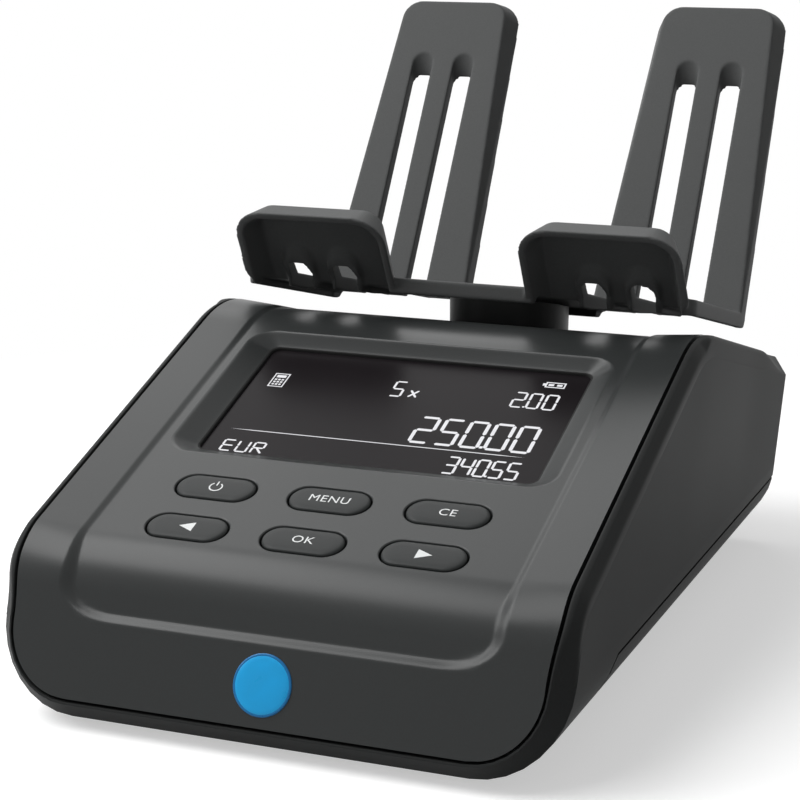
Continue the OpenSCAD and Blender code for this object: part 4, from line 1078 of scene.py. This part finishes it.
# %% Finishes of the remaining solids
finishes = {"lcd_panel": panel_dark, "backlight": milky, "main_board": board_green, "keypad_mat": rubber,
            "buzzer": socket_abs, "board_screws": steel, "load_cell": milled, "load_cell_spacer": steel,
            "load_cell_screws": steel, "overload_stop": steel, "load_spider": steel, "spider_screws": steel,
            "post_screws": steel, "battery_contacts": steel, "power_inlet": socket_abs,
            "printer_socket": socket_abs, "port_board": board_green, "housing_screws": steel}
finishes.update({"battery_cell_%d" % k: sleeve for k in (1, 2, 3, 4)})
for node, finish in finishes.items():
    nodes[node].data.materials.clear()
    nodes[node].data.materials.append(finish)
    for polygon in nodes[node].data.polygons:
        polygon.material_index = 0
print("solids kept:", len(finishes))

# %% [markdown]
# ## Floor, light and background
#
# The picture has a white ground with a soft shadow to the right. White paper
# under strong lamps would also light the dark front from below. So the floor
# and the world are pale to the camera, to reflections and through clear
# parts, by the Light Path node, and dimmer to bounced light. One softbox
# hangs behind, one overhead for the panel and the bend, and one stands high
# on the left for the tray's supports.

# %% Floor
def background_ray(tree):
    path = add(tree, "ShaderNodeLightPath")
    seen = path.outputs["Is Camera Ray"]
    for kind in ("Is Glossy Ray", "Is Transmission Ray"):
        either = add(tree, "ShaderNodeMath", {0: seen, 1: path.outputs[kind]}, operation="MAXIMUM")
        seen = either.outputs["Value"]
    return seen


floor_mesh = bpy.data.meshes.new("studio_floor")
FLOOR_HALF, FADE_NEAR, FADE_FAR = 12, 0.2, 0.36
floor_corners = [(x * FLOOR_HALF, y * FLOOR_HALF, 0) for x, y in ((-1, -1), (1, -1), (1, 1), (-1, 1))]
floor_mesh.from_pydata(floor_corners, [], [(0, 1, 2, 3)])
floor = bpy.data.objects.new("studio_floor", floor_mesh)
bpy.context.scene.collection.objects.link(floor)
# White paper: keeps the shadow near the object and fades to plain white
ground, tree = new_material("Paper_white_ground")
paper = add(tree, "ShaderNodeBsdfDiffuse", {"Color": colour("#d8d8d8")})
shine = add(tree, "ShaderNodeEmission", {"Color": (1, 1, 1, 1), "Strength": 0.5})
pale = add(tree, "ShaderNodeAddShader", {0: paper.outputs["BSDF"], 1: shine.outputs["Emission"]})
far_white = add(tree, "ShaderNodeEmission", {"Color": (1, 1, 1, 1), "Strength": 1.0})
place = add(tree, "ShaderNodeTexCoord").outputs["Object"]
away = add(tree, "ShaderNodeVectorMath", {0: place}, operation="LENGTH")
fade = add(tree, "ShaderNodeMapRange",
           {"Value": away.outputs["Value"], "From Min": FADE_NEAR, "From Max": FADE_FAR})
paper_seen = add(tree, "ShaderNodeMixShader", {0: fade.outputs["Result"], 1: pale.outputs["Shader"],
                                               2: far_white.outputs["Emission"]})
grey = add(tree, "ShaderNodeBsdfDiffuse", {"Color": colour("#b0b0b0")})
floor_mix = add(tree, "ShaderNodeMixShader", {0: background_ray(tree), 1: grey.outputs["BSDF"],
                                              2: paper_seen.outputs["Shader"]})
add(tree, "ShaderNodeOutputMaterial", {"Surface": floor_mix.outputs["Shader"]})
floor_mesh.materials.append(ground)
print("floor:", 2 * FLOOR_HALF, "m wide")

# %% World and softboxes
world = bpy.data.worlds.new("studio_world")
bpy.context.scene.world = world
world.use_nodes = True
tree = world.node_tree
tree.nodes.clear()
strength = add(tree, "ShaderNodeMapRange", {"Value": background_ray(tree), "To Min": 0.2, "To Max": 1.0})
sky = add(tree, "ShaderNodeBackground", {"Color": (1, 1, 1, 1), "Strength": strength.outputs["Result"]})
add(tree, "ShaderNodeOutputWorld", {"Surface": sky.outputs["Background"]})


def softbox(name, place, target, size, power):
    data = bpy.data.lights.new(name, "AREA")
    data.shape = "RECTANGLE"
    data.size, data.size_y = size
    data.energy = power
    made = bpy.data.objects.new(name, data)
    bpy.context.scene.collection.objects.link(made)
    made.location = place
    made.rotation_euler = (Vector(target) - Vector(place)).to_track_quat("-Z", "Y").to_euler()


softbox("softbox_back", (-0.66, 0.76, 1.15), (0, 0, 0.05), (1.3, 0.8), 5.5)
softbox("softbox_top", (-0.58, -0.34, 1.33), (0, -0.11, 0.05), (1.2, 0.55), 12)
softbox("softbox_left", (-1.25, -0.45, 1.05), (0, 0.05, 0.1), (0.9, 1.0), 15)
bpy.context.scene.view_settings.view_transform = "Standard"
print("softboxes:", len(bpy.data.lights))
